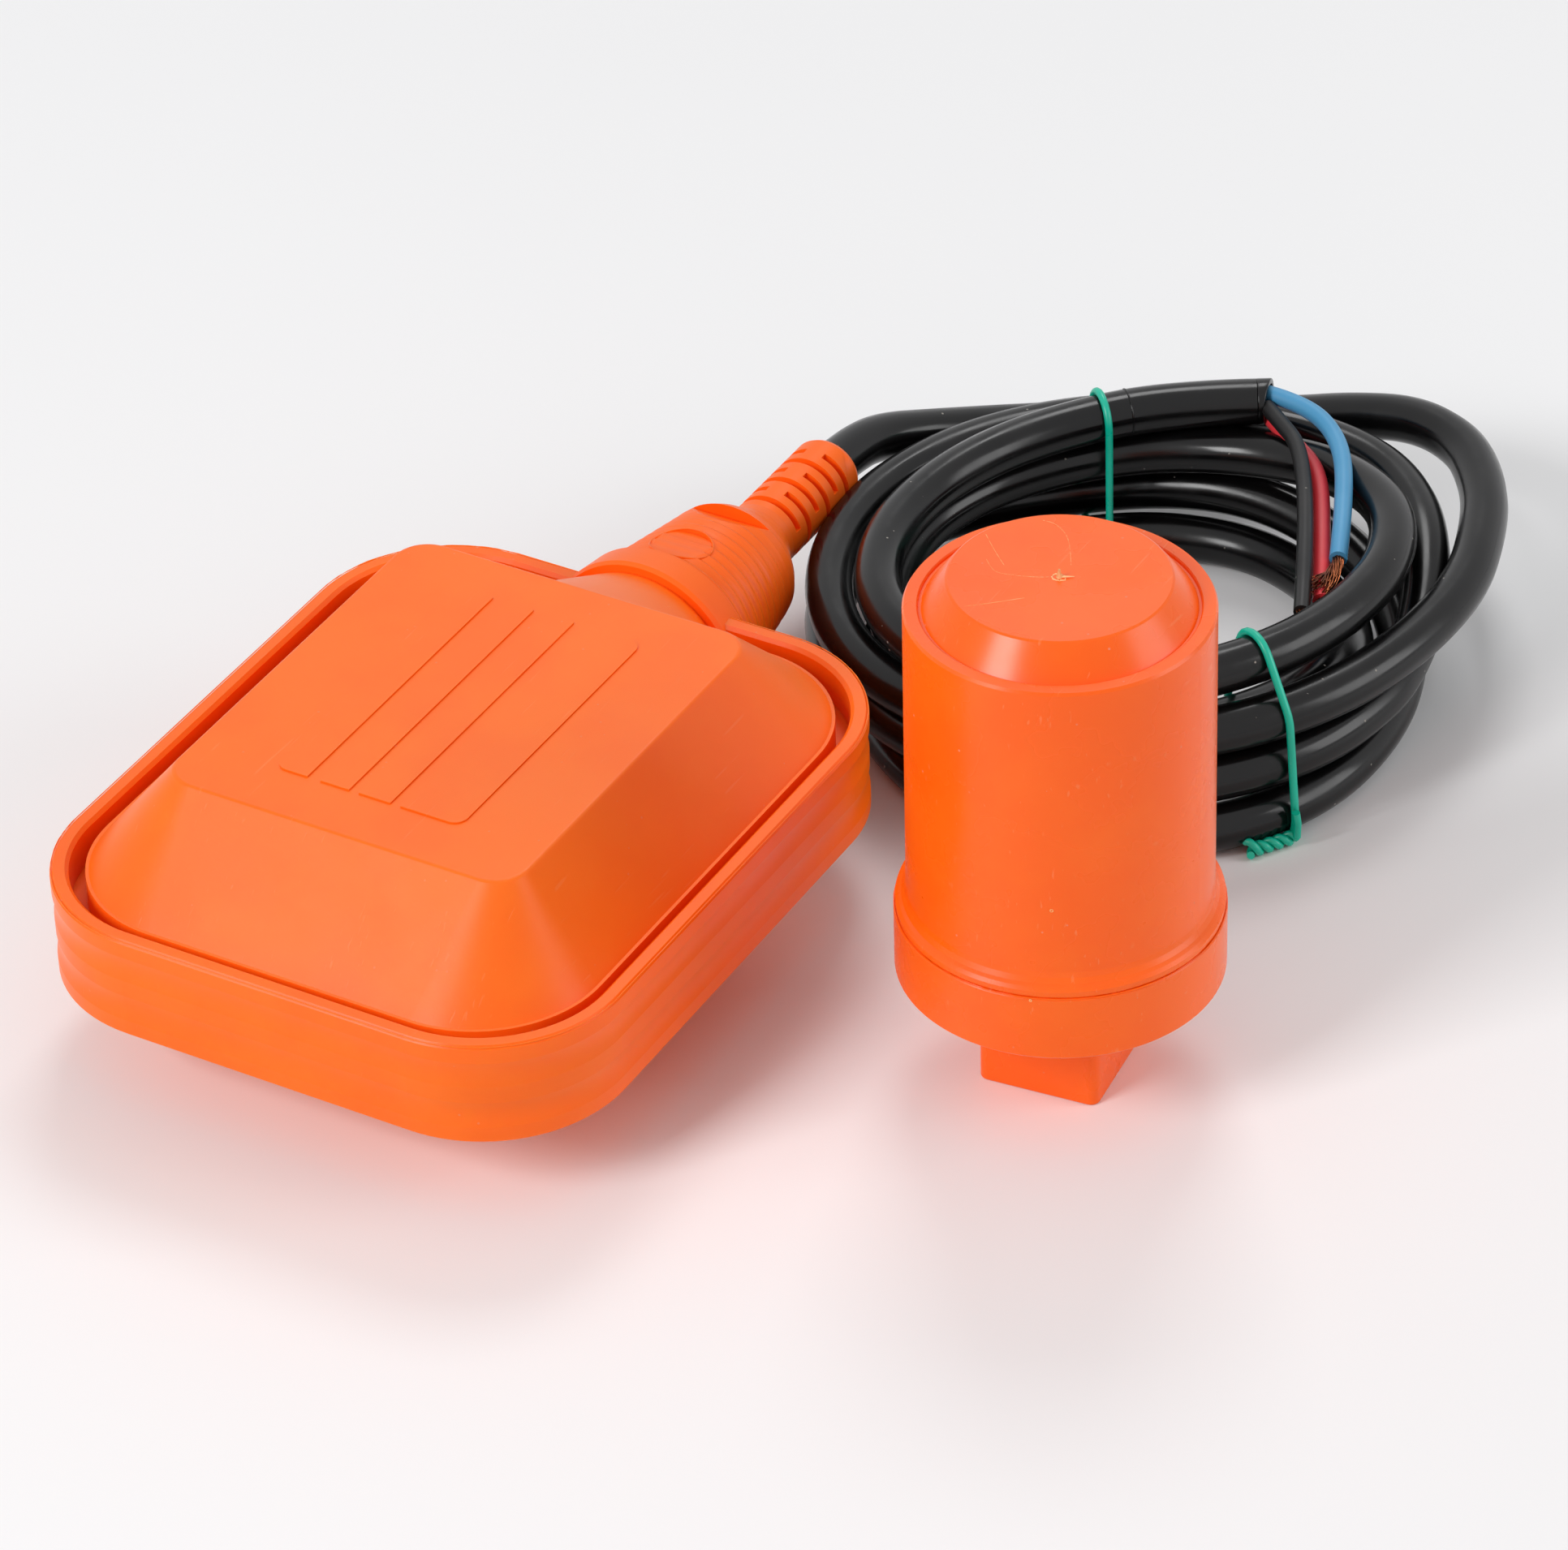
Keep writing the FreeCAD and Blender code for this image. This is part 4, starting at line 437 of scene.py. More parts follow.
class Bench:
    """The steps that the pieces share."""

    @staticmethod
    def clear() -> None:
        """Leaves edit mode and deselects everything."""
        if bpy.context.object and bpy.context.object.mode != "OBJECT":
            bpy.ops.object.mode_set(mode="OBJECT")
        bpy.ops.object.select_all(action="DESELECT")

    @staticmethod
    def only(piece: bpy.types.Object) -> None:
        """Makes a piece the only selected and the active one.

        Args:
            piece: The piece.
        """
        Bench.clear()
        piece.select_set(True)
        bpy.context.view_layer.objects.active = piece

    @staticmethod
    def pick_faces(piece: bpy.types.Object, wanted: Callable[[bmesh.types.BMFace], bool]) -> None:
        """Enters edit mode with only the faces selected that a test wants.

        Args:
            piece: The mesh to edit.
            wanted: Says of a face whether it is selected.
        """
        Bench.only(piece)
        bpy.ops.object.mode_set(mode="EDIT")
        bpy.ops.mesh.select_mode(type="FACE")
        bpy.ops.mesh.select_all(action="DESELECT")
        mesh = bmesh.from_edit_mesh(piece.data)
        for face in mesh.faces:
            face.select = wanted(face)
        mesh.select_flush_mode()
        bmesh.update_edit_mesh(piece.data)

    @staticmethod
    def settle(piece: bpy.types.Object, smooth: float = 35.0) -> None:
        """Puts a piece's place into its mesh and shades it smooth up to an angle.

        Args:
            piece: The piece.
            smooth: The angle in degrees.
        """
        Bench.only(piece)
        bpy.ops.object.transform_apply(location=True, rotation=True, scale=True)
        bpy.ops.object.shade_smooth_by_angle(angle=math.radians(smooth))

    @staticmethod
    def dress(piece: bpy.types.Object, name: str, finish: Finish, body: str = "housing",
              replaced: Iterable[str] = ()) -> bpy.types.Object:
        """Names a piece, gives it its finish and fixes it to a body.

        Args:
            piece: The finished piece.
            name: Its name.
            finish: Its finish.
            body: The body that it rides on.
            replaced: The frame's nodes that it stands for.

        Returns:
            The piece.
        """
        piece.name = name
        piece.data.name = name
        piece.data.materials.clear()
        piece.data.materials.append(finish.material())
        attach(piece, body)
        if replaced:
            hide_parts(*replaced)
        LOG.info("%s rides on %s", name, body)
        return piece

    @staticmethod
    def wire(points: Sequence[Vector], radius: float, swell: Sequence[float] = (),
             closed: bool = False, sides: int = 2) -> bpy.types.Object:
        """Draws a round wire along points and makes it a mesh.

        Args:
            points: The wire's middle.
            radius: Its radius in metres.
            swell: A factor on the radius at each point.
            closed: Whether it runs back to its start.
            sides: The bevel's resolution.

        Returns:
            The wire as a mesh object at the origin.
        """
        Bench.clear()
        data = bpy.data.curves.new("wire", "CURVE")
        data.dimensions = "3D"
        data.bevel_depth = radius
        data.bevel_resolution = sides
        data.use_fill_caps = True
        spline = data.splines.new("POLY")
        spline.points.add(len(points) - 1)
        for index, point in enumerate(points):
            spline.points[index].co = (*point, 1)
            spline.points[index].radius = swell[index] if swell else 1.0
        spline.use_cyclic_u = closed
        piece = bpy.data.objects.new("wire", data)
        bpy.context.scene.collection.objects.link(piece)
        Bench.only(piece)
        bpy.ops.object.convert(target="MESH")
        piece = bpy.context.object
        bpy.ops.object.shade_smooth_by_angle(angle=math.radians(50))
        return piece

    @staticmethod
    def join(pieces: Sequence[bpy.types.Object]) -> bpy.types.Object:
        """Joins several meshes.

        Args:
            pieces: The meshes.

        Returns:
            The first of them, with the others in it.
        """
        Bench.clear()
        for piece in pieces:
            piece.select_set(True)
        bpy.context.view_layer.objects.active = pieces[0]
        if len(pieces) > 1:
            bpy.ops.object.join()
        return pieces[0]


def centreline(curve: bpy.types.Object) -> list[Vector]:
    """Reads a curve's own line without its bevel.

    Args:
        curve: The curve.

    Returns:
        The line's points.
    """
    depth = curve.data.bevel_depth
    curve.data.bevel_depth = 0
    bpy.context.view_layer.update()
    graph = bpy.context.evaluated_depsgraph_get()
    mesh = bpy.data.meshes.new_from_object(curve.evaluated_get(graph))
    points = [vertex.co.copy() for vertex in mesh.vertices]
    bpy.data.meshes.remove(mesh)
    curve.data.bevel_depth = depth
    return points


def soft_line(name: str, points: Sequence[Vector], radius: float) -> bpy.types.Object:
    """Lays a smooth round line with the given control points.

    Args:
        name: The object's name.
        points: The control points in metres.
        radius: Its radius in metres.

    Returns:
        A curve of one open spline.
    """
    data = bpy.data.curves.new(name, "CURVE")
    data.dimensions = "3D"
    data.bevel_depth = 1.0
    data.bevel_resolution = 7
    data.use_fill_caps = True
    spline = data.splines.new("NURBS")
    spline.points.add(len(points) - 1)
    for target, point in zip(spline.points, points):
        target.co = (*point, 1)
        target.radius = radius
    spline.order_u = 3
    spline.use_endpoint_u = True
    spline.resolution_u = 10
    spline.use_smooth = True
    piece = bpy.data.objects.new(name, data)
    bpy.context.scene.collection.objects.link(piece)
    return piece


def catmull(before: Vector, start: Vector, end: Vector, after: Vector, share: float) -> Vector:
    """Returns the place at a share of the way between two stations, smooth over four.

    Args:
        before: The station before the start.
        start: The station at share 0.
        end: The station at share 1.
        after: The station after the end.
        share: How far along, from 0 to 1.

    Returns:
        The place between start and end.
    """
    even = 2 * start + (end - before) * share
    bent = (2 * before - 5 * start + 4 * end - after) * share ** 2
    bent += (3 * start - before - 3 * end + after) * share ** 3
    return (even + bent) * 0.5


# ---------------------------------------------------------------- the cable


@dataclass
class FreeCable:
    """The cable from the boot's mouth, round the coil, to its cut end with three bared cores."""

    diameter: float = 8.2
    eye: tuple[float, float] = (61.9, 115.0)
    first_angle: float = 45.0
    step: float = 45.0
    between: int = 2
    lead: tuple[Triple, ...] = (
        (0.0, 118.7, 24.4), (0.0, 126.7, 24.0), (1.6, 135.2, 22.4), (6.6, 144.6, 19.2), (15.4, 156.4, 16.0),
        (34.0, 171.4, 14.2), (46.5, 178.8, 14.0), (58.0, 183.4, 14.9), (68.0, 183.4, 18.6),
        (81.0, 183.4, 21.8), (92.5, 178.6, 22.4), (100.0, 169.5, 22.6),
    )
    # radius and height at each station, every eighth of a turn, going round clockwise from above
    stations: tuple[tuple[float, float], ...] = (
        (61.9, 22.6), (47.4, 22.0), (43.8, 21.4), (46.6, 21.0), (52.3, 21.0), (53.9, 21.6), (52.9, 22.0),
        (55.2, 21.7), (51.2, 20.8), (45.4, 13.4), (44.8, 12.8), (46.6, 12.4), (51.0, 12.2), (56.0, 9.4),
        (52.2, 7.4), (47.0, 12.6), (46.6, 7.8), (44.3, 4.3), (47.4, 4.3), (48.6, 4.3), (47.0, 4.3),
        (45.0, 4.3), (41.6, 4.4), (42.4, 4.6), (37.6, 6.2), (34.8, 14.4), (35.2, 16.2), (37.0, 16.2),
        (41.0, 15.8), (44.6, 17.4), (44.2, 19.2), (45.6, 22.2), (45.4, 28.1), (39.0, 29.2), (38.6, 29.6),
        (45.8, 29.3), (46.0, 28.6), (41.0, 28.4), (40.8, 28.9), (49.9, 29.3),
    )
    # stations between two of those, by their count of eighths
    extra: tuple[tuple[float, float, float], ...] = ((7.5, 56.0, 21.6), (8.5, 47.2, 15.8))
    last_step: float = 0.93
    floor_gap: float = 0.05
    end_gap: float = 2.2
    end_wall: float = 1.15
    end_hollow: float = 1.6
    end_tilt: float = 16.0
    end_edge: float = 0.22
    ring_back: float = 22.0
    ring_proud: float = 0.16

    def place(self, x: float, y: float, z: float) -> Vector:
        """Turns a place near the float into one of the whole frame.

        Args:
            x: Millimetres across from the middle of the float.
            y: Millimetres towards the cable from there.
            z: Millimetres above the floor.

        Returns:
            The place in metres.
        """
        low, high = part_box("rim_band")
        middle = (low + high) / 2
        return Vector((middle.x + x * MM, middle.y + y * MM, z * MM))

    def turns(self) -> list[Vector]:
        """Lays the coil's control points, station by station round the eye.

        Returns:
            The points in metres.
        """
        places = [Vector((radius, height, count)) for count, (radius, height) in enumerate(self.stations)]
        places[-1].z -= 1 - self.last_step
        places += [Vector((radius, height, count)) for count, radius, height in self.extra]
        places.sort(key=lambda station: station.z)
        last = len(places) - 1
        points = []
        for index in range(last):
            near = (places[max(index - 1, 0)], places[index], places[index + 1],
                    places[min(index + 2, last)])
            for part in range(self.between):
                points.append(self.round_eye(catmull(*near, part / self.between)))
        points.append(self.round_eye(places[last]))
        return points

    def round_eye(self, station: Vector) -> Vector:
        """Finds where a station lies.

        Args:
            station: Its radius, its height and its count of eighths of a turn round the coil's eye.

        Returns:
            The place in metres.
        """
        angle = math.radians(self.first_angle - self.step * station.z)
        across = station.x * math.cos(angle)
        along = station.x * math.sin(angle)
        height = max(station.y, self.diameter / 2 + self.floor_gap)
        return self.place(self.eye[0] + across, self.eye[1] + along, height)

    def build(self) -> bpy.types.Object:
        """Returns:
            The cable's curve.
        """
        points = [self.place(*point) for point in self.lead] + self.turns()
        cable = soft_line("free_cable", points, self.diameter / 2 * MM)
        Bench.dress(cable, "free_cable", JACKET, replaced=("cable_lead", "cable_coil"))
        line = centreline(cable)
        ends = [self.jacket_end(line), self.jacket_step(line)]
        return cable

    def jacket_end(self, line: Sequence[Vector]) -> bpy.types.Object:
        """Models the cut end of the jacket: a short sleeve, hollowed where the cores come out.

        Args:
            line: The cable's middle line.

        Returns:
            The sleeve.
        """
        way = (line[-1] - line[-4]).normalized()
        radius = self.diameter / 2 * MM
        bpy.ops.mesh.primitive_cylinder_add(vertices=64, radius=radius, depth=self.end_gap * MM,
                                            location=line[-1] + way * self.end_gap / 2 * MM,
                                            rotation=way.to_track_quat("Z", "Y").to_euler())
        sleeve = bpy.context.object
        Bench.pick_faces(sleeve, lambda face: face.normal.z > 0.9)
        bpy.ops.mesh.inset(thickness=self.end_wall * MM)
        bpy.ops.mesh.extrude_region_move(TRANSFORM_OT_translate={"value": way * -self.end_hollow * MM})
        bpy.ops.object.mode_set(mode="OBJECT")
        Bench.pick_faces(sleeve, lambda face: face.calc_center_median().z > 0.4 * self.end_gap * MM
                         or face.normal.z > 0.9)
        bpy.ops.transform.rotate(value=math.radians(self.end_tilt), orient_axis="Z", orient_type="GLOBAL",
                                 center_override=line[-1] + way * self.end_gap * MM)
        Bench.clear()
        edge = sleeve.modifiers.new("edge", "BEVEL")
        edge.width = self.end_edge * MM
        edge.segments = 3
        edge.limit_method = "ANGLE"
        edge.angle_limit = math.radians(50)
        Bench.only(sleeve)
        bpy.ops.object.modifier_apply(modifier="edge")
        Bench.settle(sleeve)
        return Bench.dress(sleeve, "jacket_end", JACKET)

    def jacket_step(self, line: Sequence[Vector]) -> bpy.types.Object:
        """Models the shallow ring that an earlier cut left round the jacket near its end.

        Args:
            line: The cable's middle line.

        Returns:
            The ring.
        """
        back = 0.0
        index = len(line) - 1
        while back < self.ring_back * MM:
            back += (line[index] - line[index - 1]).length
            index -= 1
        way = (line[index + 1] - line[index]).normalized()
        bpy.ops.mesh.primitive_torus_add(
            location=line[index], rotation=way.to_track_quat("Z", "Y").to_euler(), major_segments=64,
            minor_segments=10, major_radius=(self.diameter / 2 - 0.02) * MM,
            minor_radius=self.ring_proud * MM)
        ring = bpy.context.object
        Bench.settle(ring, 60)
        return Bench.dress(ring, "jacket_step", JACKET)


@dataclass
class BaredCore:
    """One core that hangs out of the jacket, with its copper strands."""

    name: str
    finish: Finish
    route: tuple[Triple, ...]
    diameter: float
    strands: int
    strand_length: float
    spread: float
    seed: int
    bend: float = 0.0

    def build(self, start: Vector) -> None:
        """Lays the core and its strands.

        Args:
            start: The middle of the jacket's end.
        """
        points = [start + mm(*offset) for offset in self.route]
        core = soft_line(self.name, points, self.diameter / 2 * MM)
        Bench.dress(core, self.name + "_skin", self.finish, replaced=(self.name,))
        line = centreline(core)
        copper = self.copper(line)

    def copper(self, line: Sequence[Vector]) -> bpy.types.Object:
        """Twists fine strands out of the core's end and lets them fray.

        Args:
            line: The core's middle line.

        Returns:
            The strands as one mesh.
        """
        rng = random.Random(self.seed)
        end = line[-1]
        way = (line[-1] - line[-4]).normalized()
        side = way.cross(Vector((0, 0, 1))).normalized()
        up = side.cross(way)
        wires = []
        for number in range(self.strands):
            ring = math.sqrt((number + 0.5) / self.strands)
            angle = number * 2.39996
            reach = self.strand_length * rng.uniform(0.72, 1.0)
            lean = rng.uniform(-0.5, 0.5)
            points = []
            for step in range(9):
                share = step / 8
                radius = ring * (0.95 + self.spread * share ** 1.5) + rng.uniform(-0.07, 0.07) * share
                turn = angle + share * 2.4 + lean * share ** 2
                flat = side * math.cos(turn) * radius + up * math.sin(turn) * radius * 0.75
                aside = side * self.bend * share ** 2 + up * 0.28 * self.bend * share ** 2
                points.append(end + way * (share * reach - 0.4) * MM + (flat + aside) * MM)
            wires.append(Bench.wire(points, 0.12 * MM, sides=1))
        return Bench.dress(Bench.join(wires), self.name + "_strands", COPPER)


CORES = (
    BaredCore("core_blue", CORE_BLUE, (
        (-1.5, 1.0, 1.5), (7.0, 0.4, 2.2), (16.8, -5.7, 2.0), (24.6, -18.6, 1.3), (32.0, -37.0, -0.1)),
        3.1, 46, 10.6, 1.1, 5, 2.6),
    BaredCore("core_red", CORE_RED, (
        (-0.1, 0.5, -1.9), (7.2, -4.4, -2.7), (17.0, -13.2, -1.0), (25.0, -28.6, -1.2),
        (33.9, -47.3, -1.8)),
        3.0, 22, 3.6, 0.4, 6),
    BaredCore("core_black", CORE_BLACK, (
        (1.4, -1.8, 0.8), (5.8, -5.4, 0.9), (12.0, -10.6, 1.0), (23.0, -30.4, 1.4), (33.4, -53.8, -0.2)),
        2.8, 22, 4.4, 0.5, 7),
)


@dataclass
class WireTie:
    """A coated wire drawn round the coil's turns, with its twisted ends on the floor."""

    name: str
    place: tuple[float, float]
    outward: float
    twist_heading: float
    passed: int = 0
    diameter: float = 1.35
    twist_length: float = 9.0
    search: float = 45.0
    stub: float = 0.0

    def build(self, cable: FreeCable, line: Sequence[Vector]) -> None:
        """Draws the tie tight round the turns that cross its place.

        Args:
            cable: The free cable.
            line: Its middle line.
        """
        middle = cable.place(*self.place, 0)
        angle = math.radians(self.outward)
        way = Vector((math.cos(angle), math.sin(angle), 0))
        across = Vector((-way.y, way.x, 0))
        reach = (cable.diameter + self.diameter) / 2 * MM
        rims = []
        met = 0
        for first, second in zip(line, line[1:]):
            low = (first - middle).dot(across)
            high = (second - middle).dot(across)
            if low * high > 0 or low == high:
                continue
            hit = first.lerp(second, low / (low - high))
            out = (hit - middle).dot(way)
            if abs(out) > self.search * MM:
                continue
            met += 1
            if met <= self.passed:
                continue
            for step in range(24):
                turn = math.tau * step / 24
                rims.append((out + reach * math.cos(turn), hit.z + reach * math.sin(turn)))
        ring = self.hull(rims)
        lowest = self.diameter / 2 * MM
        loop = [middle + way * out + Vector((0, 0, max(high, lowest))) for out, high in ring]
        band = Bench.wire(self.even(loop, 1.2 * MM), self.diameter / 2 * MM, closed=True, sides=3)
        outer = max(out for out, high in ring)
        knot = middle + way * outer + Vector((0, 0, self.diameter * MM))
        ends = self.twist(knot)
        if self.stub:
            foot = knot + way * self.diameter * 0.9 * MM + Vector((0, 0, 0.8 * MM))
            tip = foot + Vector((0, 0, self.stub * MM)) - across * 0.8 * MM
            ends.append(Bench.wire([foot - across * 0.5 * MM, foot.lerp(tip, 0.5), tip],
                                   self.diameter / 2 * MM, sides=3))
        Bench.dress(Bench.join([band, *ends]), self.name + "_wire", TIE, replaced=(self.name,))

    def twist(self, knot: Vector) -> list[bpy.types.Object]:
        """Twists the wire's two ends round each other.

        Args:
            knot: Where the twist starts.

        Returns:
            The two ends.
        """
        heading = math.radians(self.twist_heading)
        way = Vector((math.cos(heading), math.sin(heading), 0))
        side = Vector((-way.y, way.x, 0))
        ends = []
        for half in range(2):
            points = []
            for step in range(33):
                share = step / 32
                turn = share * math.tau * 2.4 + math.pi * half
                apart = self.diameter / 2 * MM * (1.0 + 0.9 * max(0.0, share - 0.8) * 5)
                lift = Vector((0, 0, self.diameter / 2 * MM + apart))
                swing = side * math.cos(turn) * apart + Vector((0, 0, math.sin(turn) * apart))
                base = Vector((knot.x, knot.y, 0)) + way * share * self.twist_length * MM
                points.append(base + lift + swing)
            ends.append(Bench.wire(points, self.diameter / 2 * MM, sides=3))
        return ends

    @staticmethod
    def hull(points: Sequence[tuple[float, float]]) -> list[tuple[float, float]]:
        """Draws the convex outline round points.

        Args:
            points: The points.

        Returns:
            The outline's corners, anticlockwise.
        """
        ordered = sorted(points)
        halves = []
        for run in (ordered, ordered[::-1]):
            edge: list[tuple[float, float]] = []
            for point in run:
                while len(edge) > 1 and WireTie.turn(edge[-2], edge[-1], point) <= 0:
                    edge.pop()
                edge.append(point)
            halves.append(edge[:-1])
        return halves[0] + halves[1]

    @staticmethod
    def turn(first: tuple[float, float], second: tuple[float, float], third: tuple[float, float]) -> float:
        """Returns twice the area of a triangle, positive if it turns anticlockwise."""
        return ((second[0] - first[0]) * (third[1] - first[1])
                - (second[1] - first[1]) * (third[0] - first[0]))

    @staticmethod
    def even(loop: Sequence[Vector], step: float) -> list[Vector]:
        """Sets points at even steps along a closed loop, each eased by its neighbours.

        Args:
            loop: The loop's corners.
            step: The spacing in metres.

        Returns:
            The points.
        """
        points = []
        for start, end in zip(loop, [*loop[1:], loop[0]]):
            count = max(1, round((end - start).length / step))
            points += [start.lerp(end, index / count) for index in range(count)]
        total = len(points)
        return [(points[index - 1] + points[index] * 2 + points[(index + 1) % total]) / 4
                for index in range(total)]


TIES = (
    WireTie("tie_back", (38.5, 147.3), 135.0, 200.0, 2),
    WireTie("tie_front", (95.0, 94.0), -30.0, 236.0, stub=5.0),
)


# ---------------------------------------------------------------- the rigid parts


@dataclass
class Dressed:
    """Nodes of the frame that keep their shape and take a finish."""

    finishes: dict[str, Finish]

    def build(self, nodes: dict[str, bpy.types.Object]) -> None:
        """Gives each node its finish.

        Args:
            nodes: The frame's nodes by name.
        """
        for name, finish in self.finishes.items():
            data = nodes[name].data
            data.materials.clear()
            data.materials.append(finish.material())
            LOG.info("%s is dressed", name)


@dataclass
class FloatBody(Dressed):
    """The two-part float with its rim band, and the thin flash along the band's upper edge."""

    finishes: dict[str, Finish] = field(default_factory=lambda: {
        "float_upper_shell": FLOAT_SHELL, "float_lower_shell": FLOAT_SHELL, "rim_band": RIM_BAND,
    })
    corner: float = 24.2
    edge: float = 0.6
    flash: float = 0.11

    def flash_line(self) -> None:
        """Models the ragged flash that the mould's parting left on the band."""
        low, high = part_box("rim_band")
        size = high - low
        Bench.clear()
        bpy.ops.mesh.primitive_plane_add(size=1, location=(low + high) / 2)
        sheet = bpy.context.object
        inset = self.edge * (1 - math.cos(math.pi / 4)) * MM
        sheet.dimensions = (size.x - 2 * inset, size.y - 2 * inset, 0)
        sheet.location.z = high.z - inset
        bpy.ops.object.transform_apply(location=True, rotation=True, scale=True)
        bpy.ops.object.mode_set(mode="EDIT")
        bpy.ops.mesh.select_all(action="SELECT")
        bpy.ops.mesh.bevel(offset=(self.corner * MM - inset), segments=24, affect="VERTICES")
        bpy.ops.mesh.delete(type="ONLY_FACE")
        bpy.ops.mesh.select_all(action="SELECT")
        bpy.ops.mesh.subdivide(number_cuts=3)
        bpy.ops.object.mode_set(mode="OBJECT")
        bpy.ops.object.convert(target="CURVE")
        line = bpy.context.object
        rng = random.Random(21)
        ragged = 1.0
        for spline in line.data.splines:
            for point in spline.points:
                ragged = 0.7 * ragged + 0.3 * rng.choice((0.35, 0.8, 1.0, 1.5))
                point.radius = ragged
        line.data.bevel_depth = self.flash * MM
        line.data.bevel_resolution = 1
        bpy.ops.object.convert(target="MESH")
        Bench.settle(bpy.context.object, 60)
        Bench.dress(bpy.context.object, "rim_flash", RIM_BAND)


@dataclass
class Boot(Dressed):
    """The cable boot and what it holds in the float's neck."""

    finishes: dict[str, Finish] = field(default_factory=lambda: {
        "cable_boot": BOOT, "cable_inlet": JACKET, "cable_seal": SEAL, "cable_clamp": WHITE,
        "clamp_screws": PLATED,
    })


    disc_place: float = 13.2
    disc_radius: float = 5.3
    cone: float = 15.6
    cone_end: float = 12.4
    cone_start: float = 7.0
    cone_length: float = 27.0

    def disc_edge(self) -> None:
        """Models the soft rounded edge round the boot's disc."""
        low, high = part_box("cable_boot")
        slope = (self.cone - self.cone_end) / (self.cone_length - self.cone_start)
        radius = self.cone - slope * (self.disc_place - self.cone_start)
        middle = Vector(((low.x + high.x) / 2, low.y + self.disc_place * MM, (low.z + high.z) / 2))
        points = []
        for step in range(72):
            angle = math.tau * step / 72
            across = self.disc_radius * math.cos(angle)
            along = self.disc_radius * math.sin(angle)
            here = radius - slope * along
            up = math.sqrt(max(here * here - across * across, 0.0)) - 0.03
            points.append(middle + mm(across, along, up))
        Bench.dress(Bench.wire(points, 0.16 * MM, closed=True, sides=2), "disc_edge", BOOT)


@dataclass
class SwitchWorks(Dressed):
    """The ball channel, the switch and its wiring inside the float."""

    finishes: dict[str, Finish] = field(default_factory=lambda: {
        "switch_carrier": WHITE, "channel_lid": WHITE, "carrier_screws": PLATED, "steel_ball": BALL,
        "switch_case": SWITCH_BODY, "switch_cover": SWITCH_COVER, "switch_screws": PLATED,
        "terminal_common": CONTACT, "terminal_open": CONTACT, "terminal_closed": CONTACT,
        "moving_contact": CONTACT, "switch_lever": LEVER, "lever_pin": PLATED, "switch_plunger": PLUNGER,
        "lead_blue": CORE_BLUE, "lead_black": CORE_BLACK, "lead_red": CORE_RED,
    })


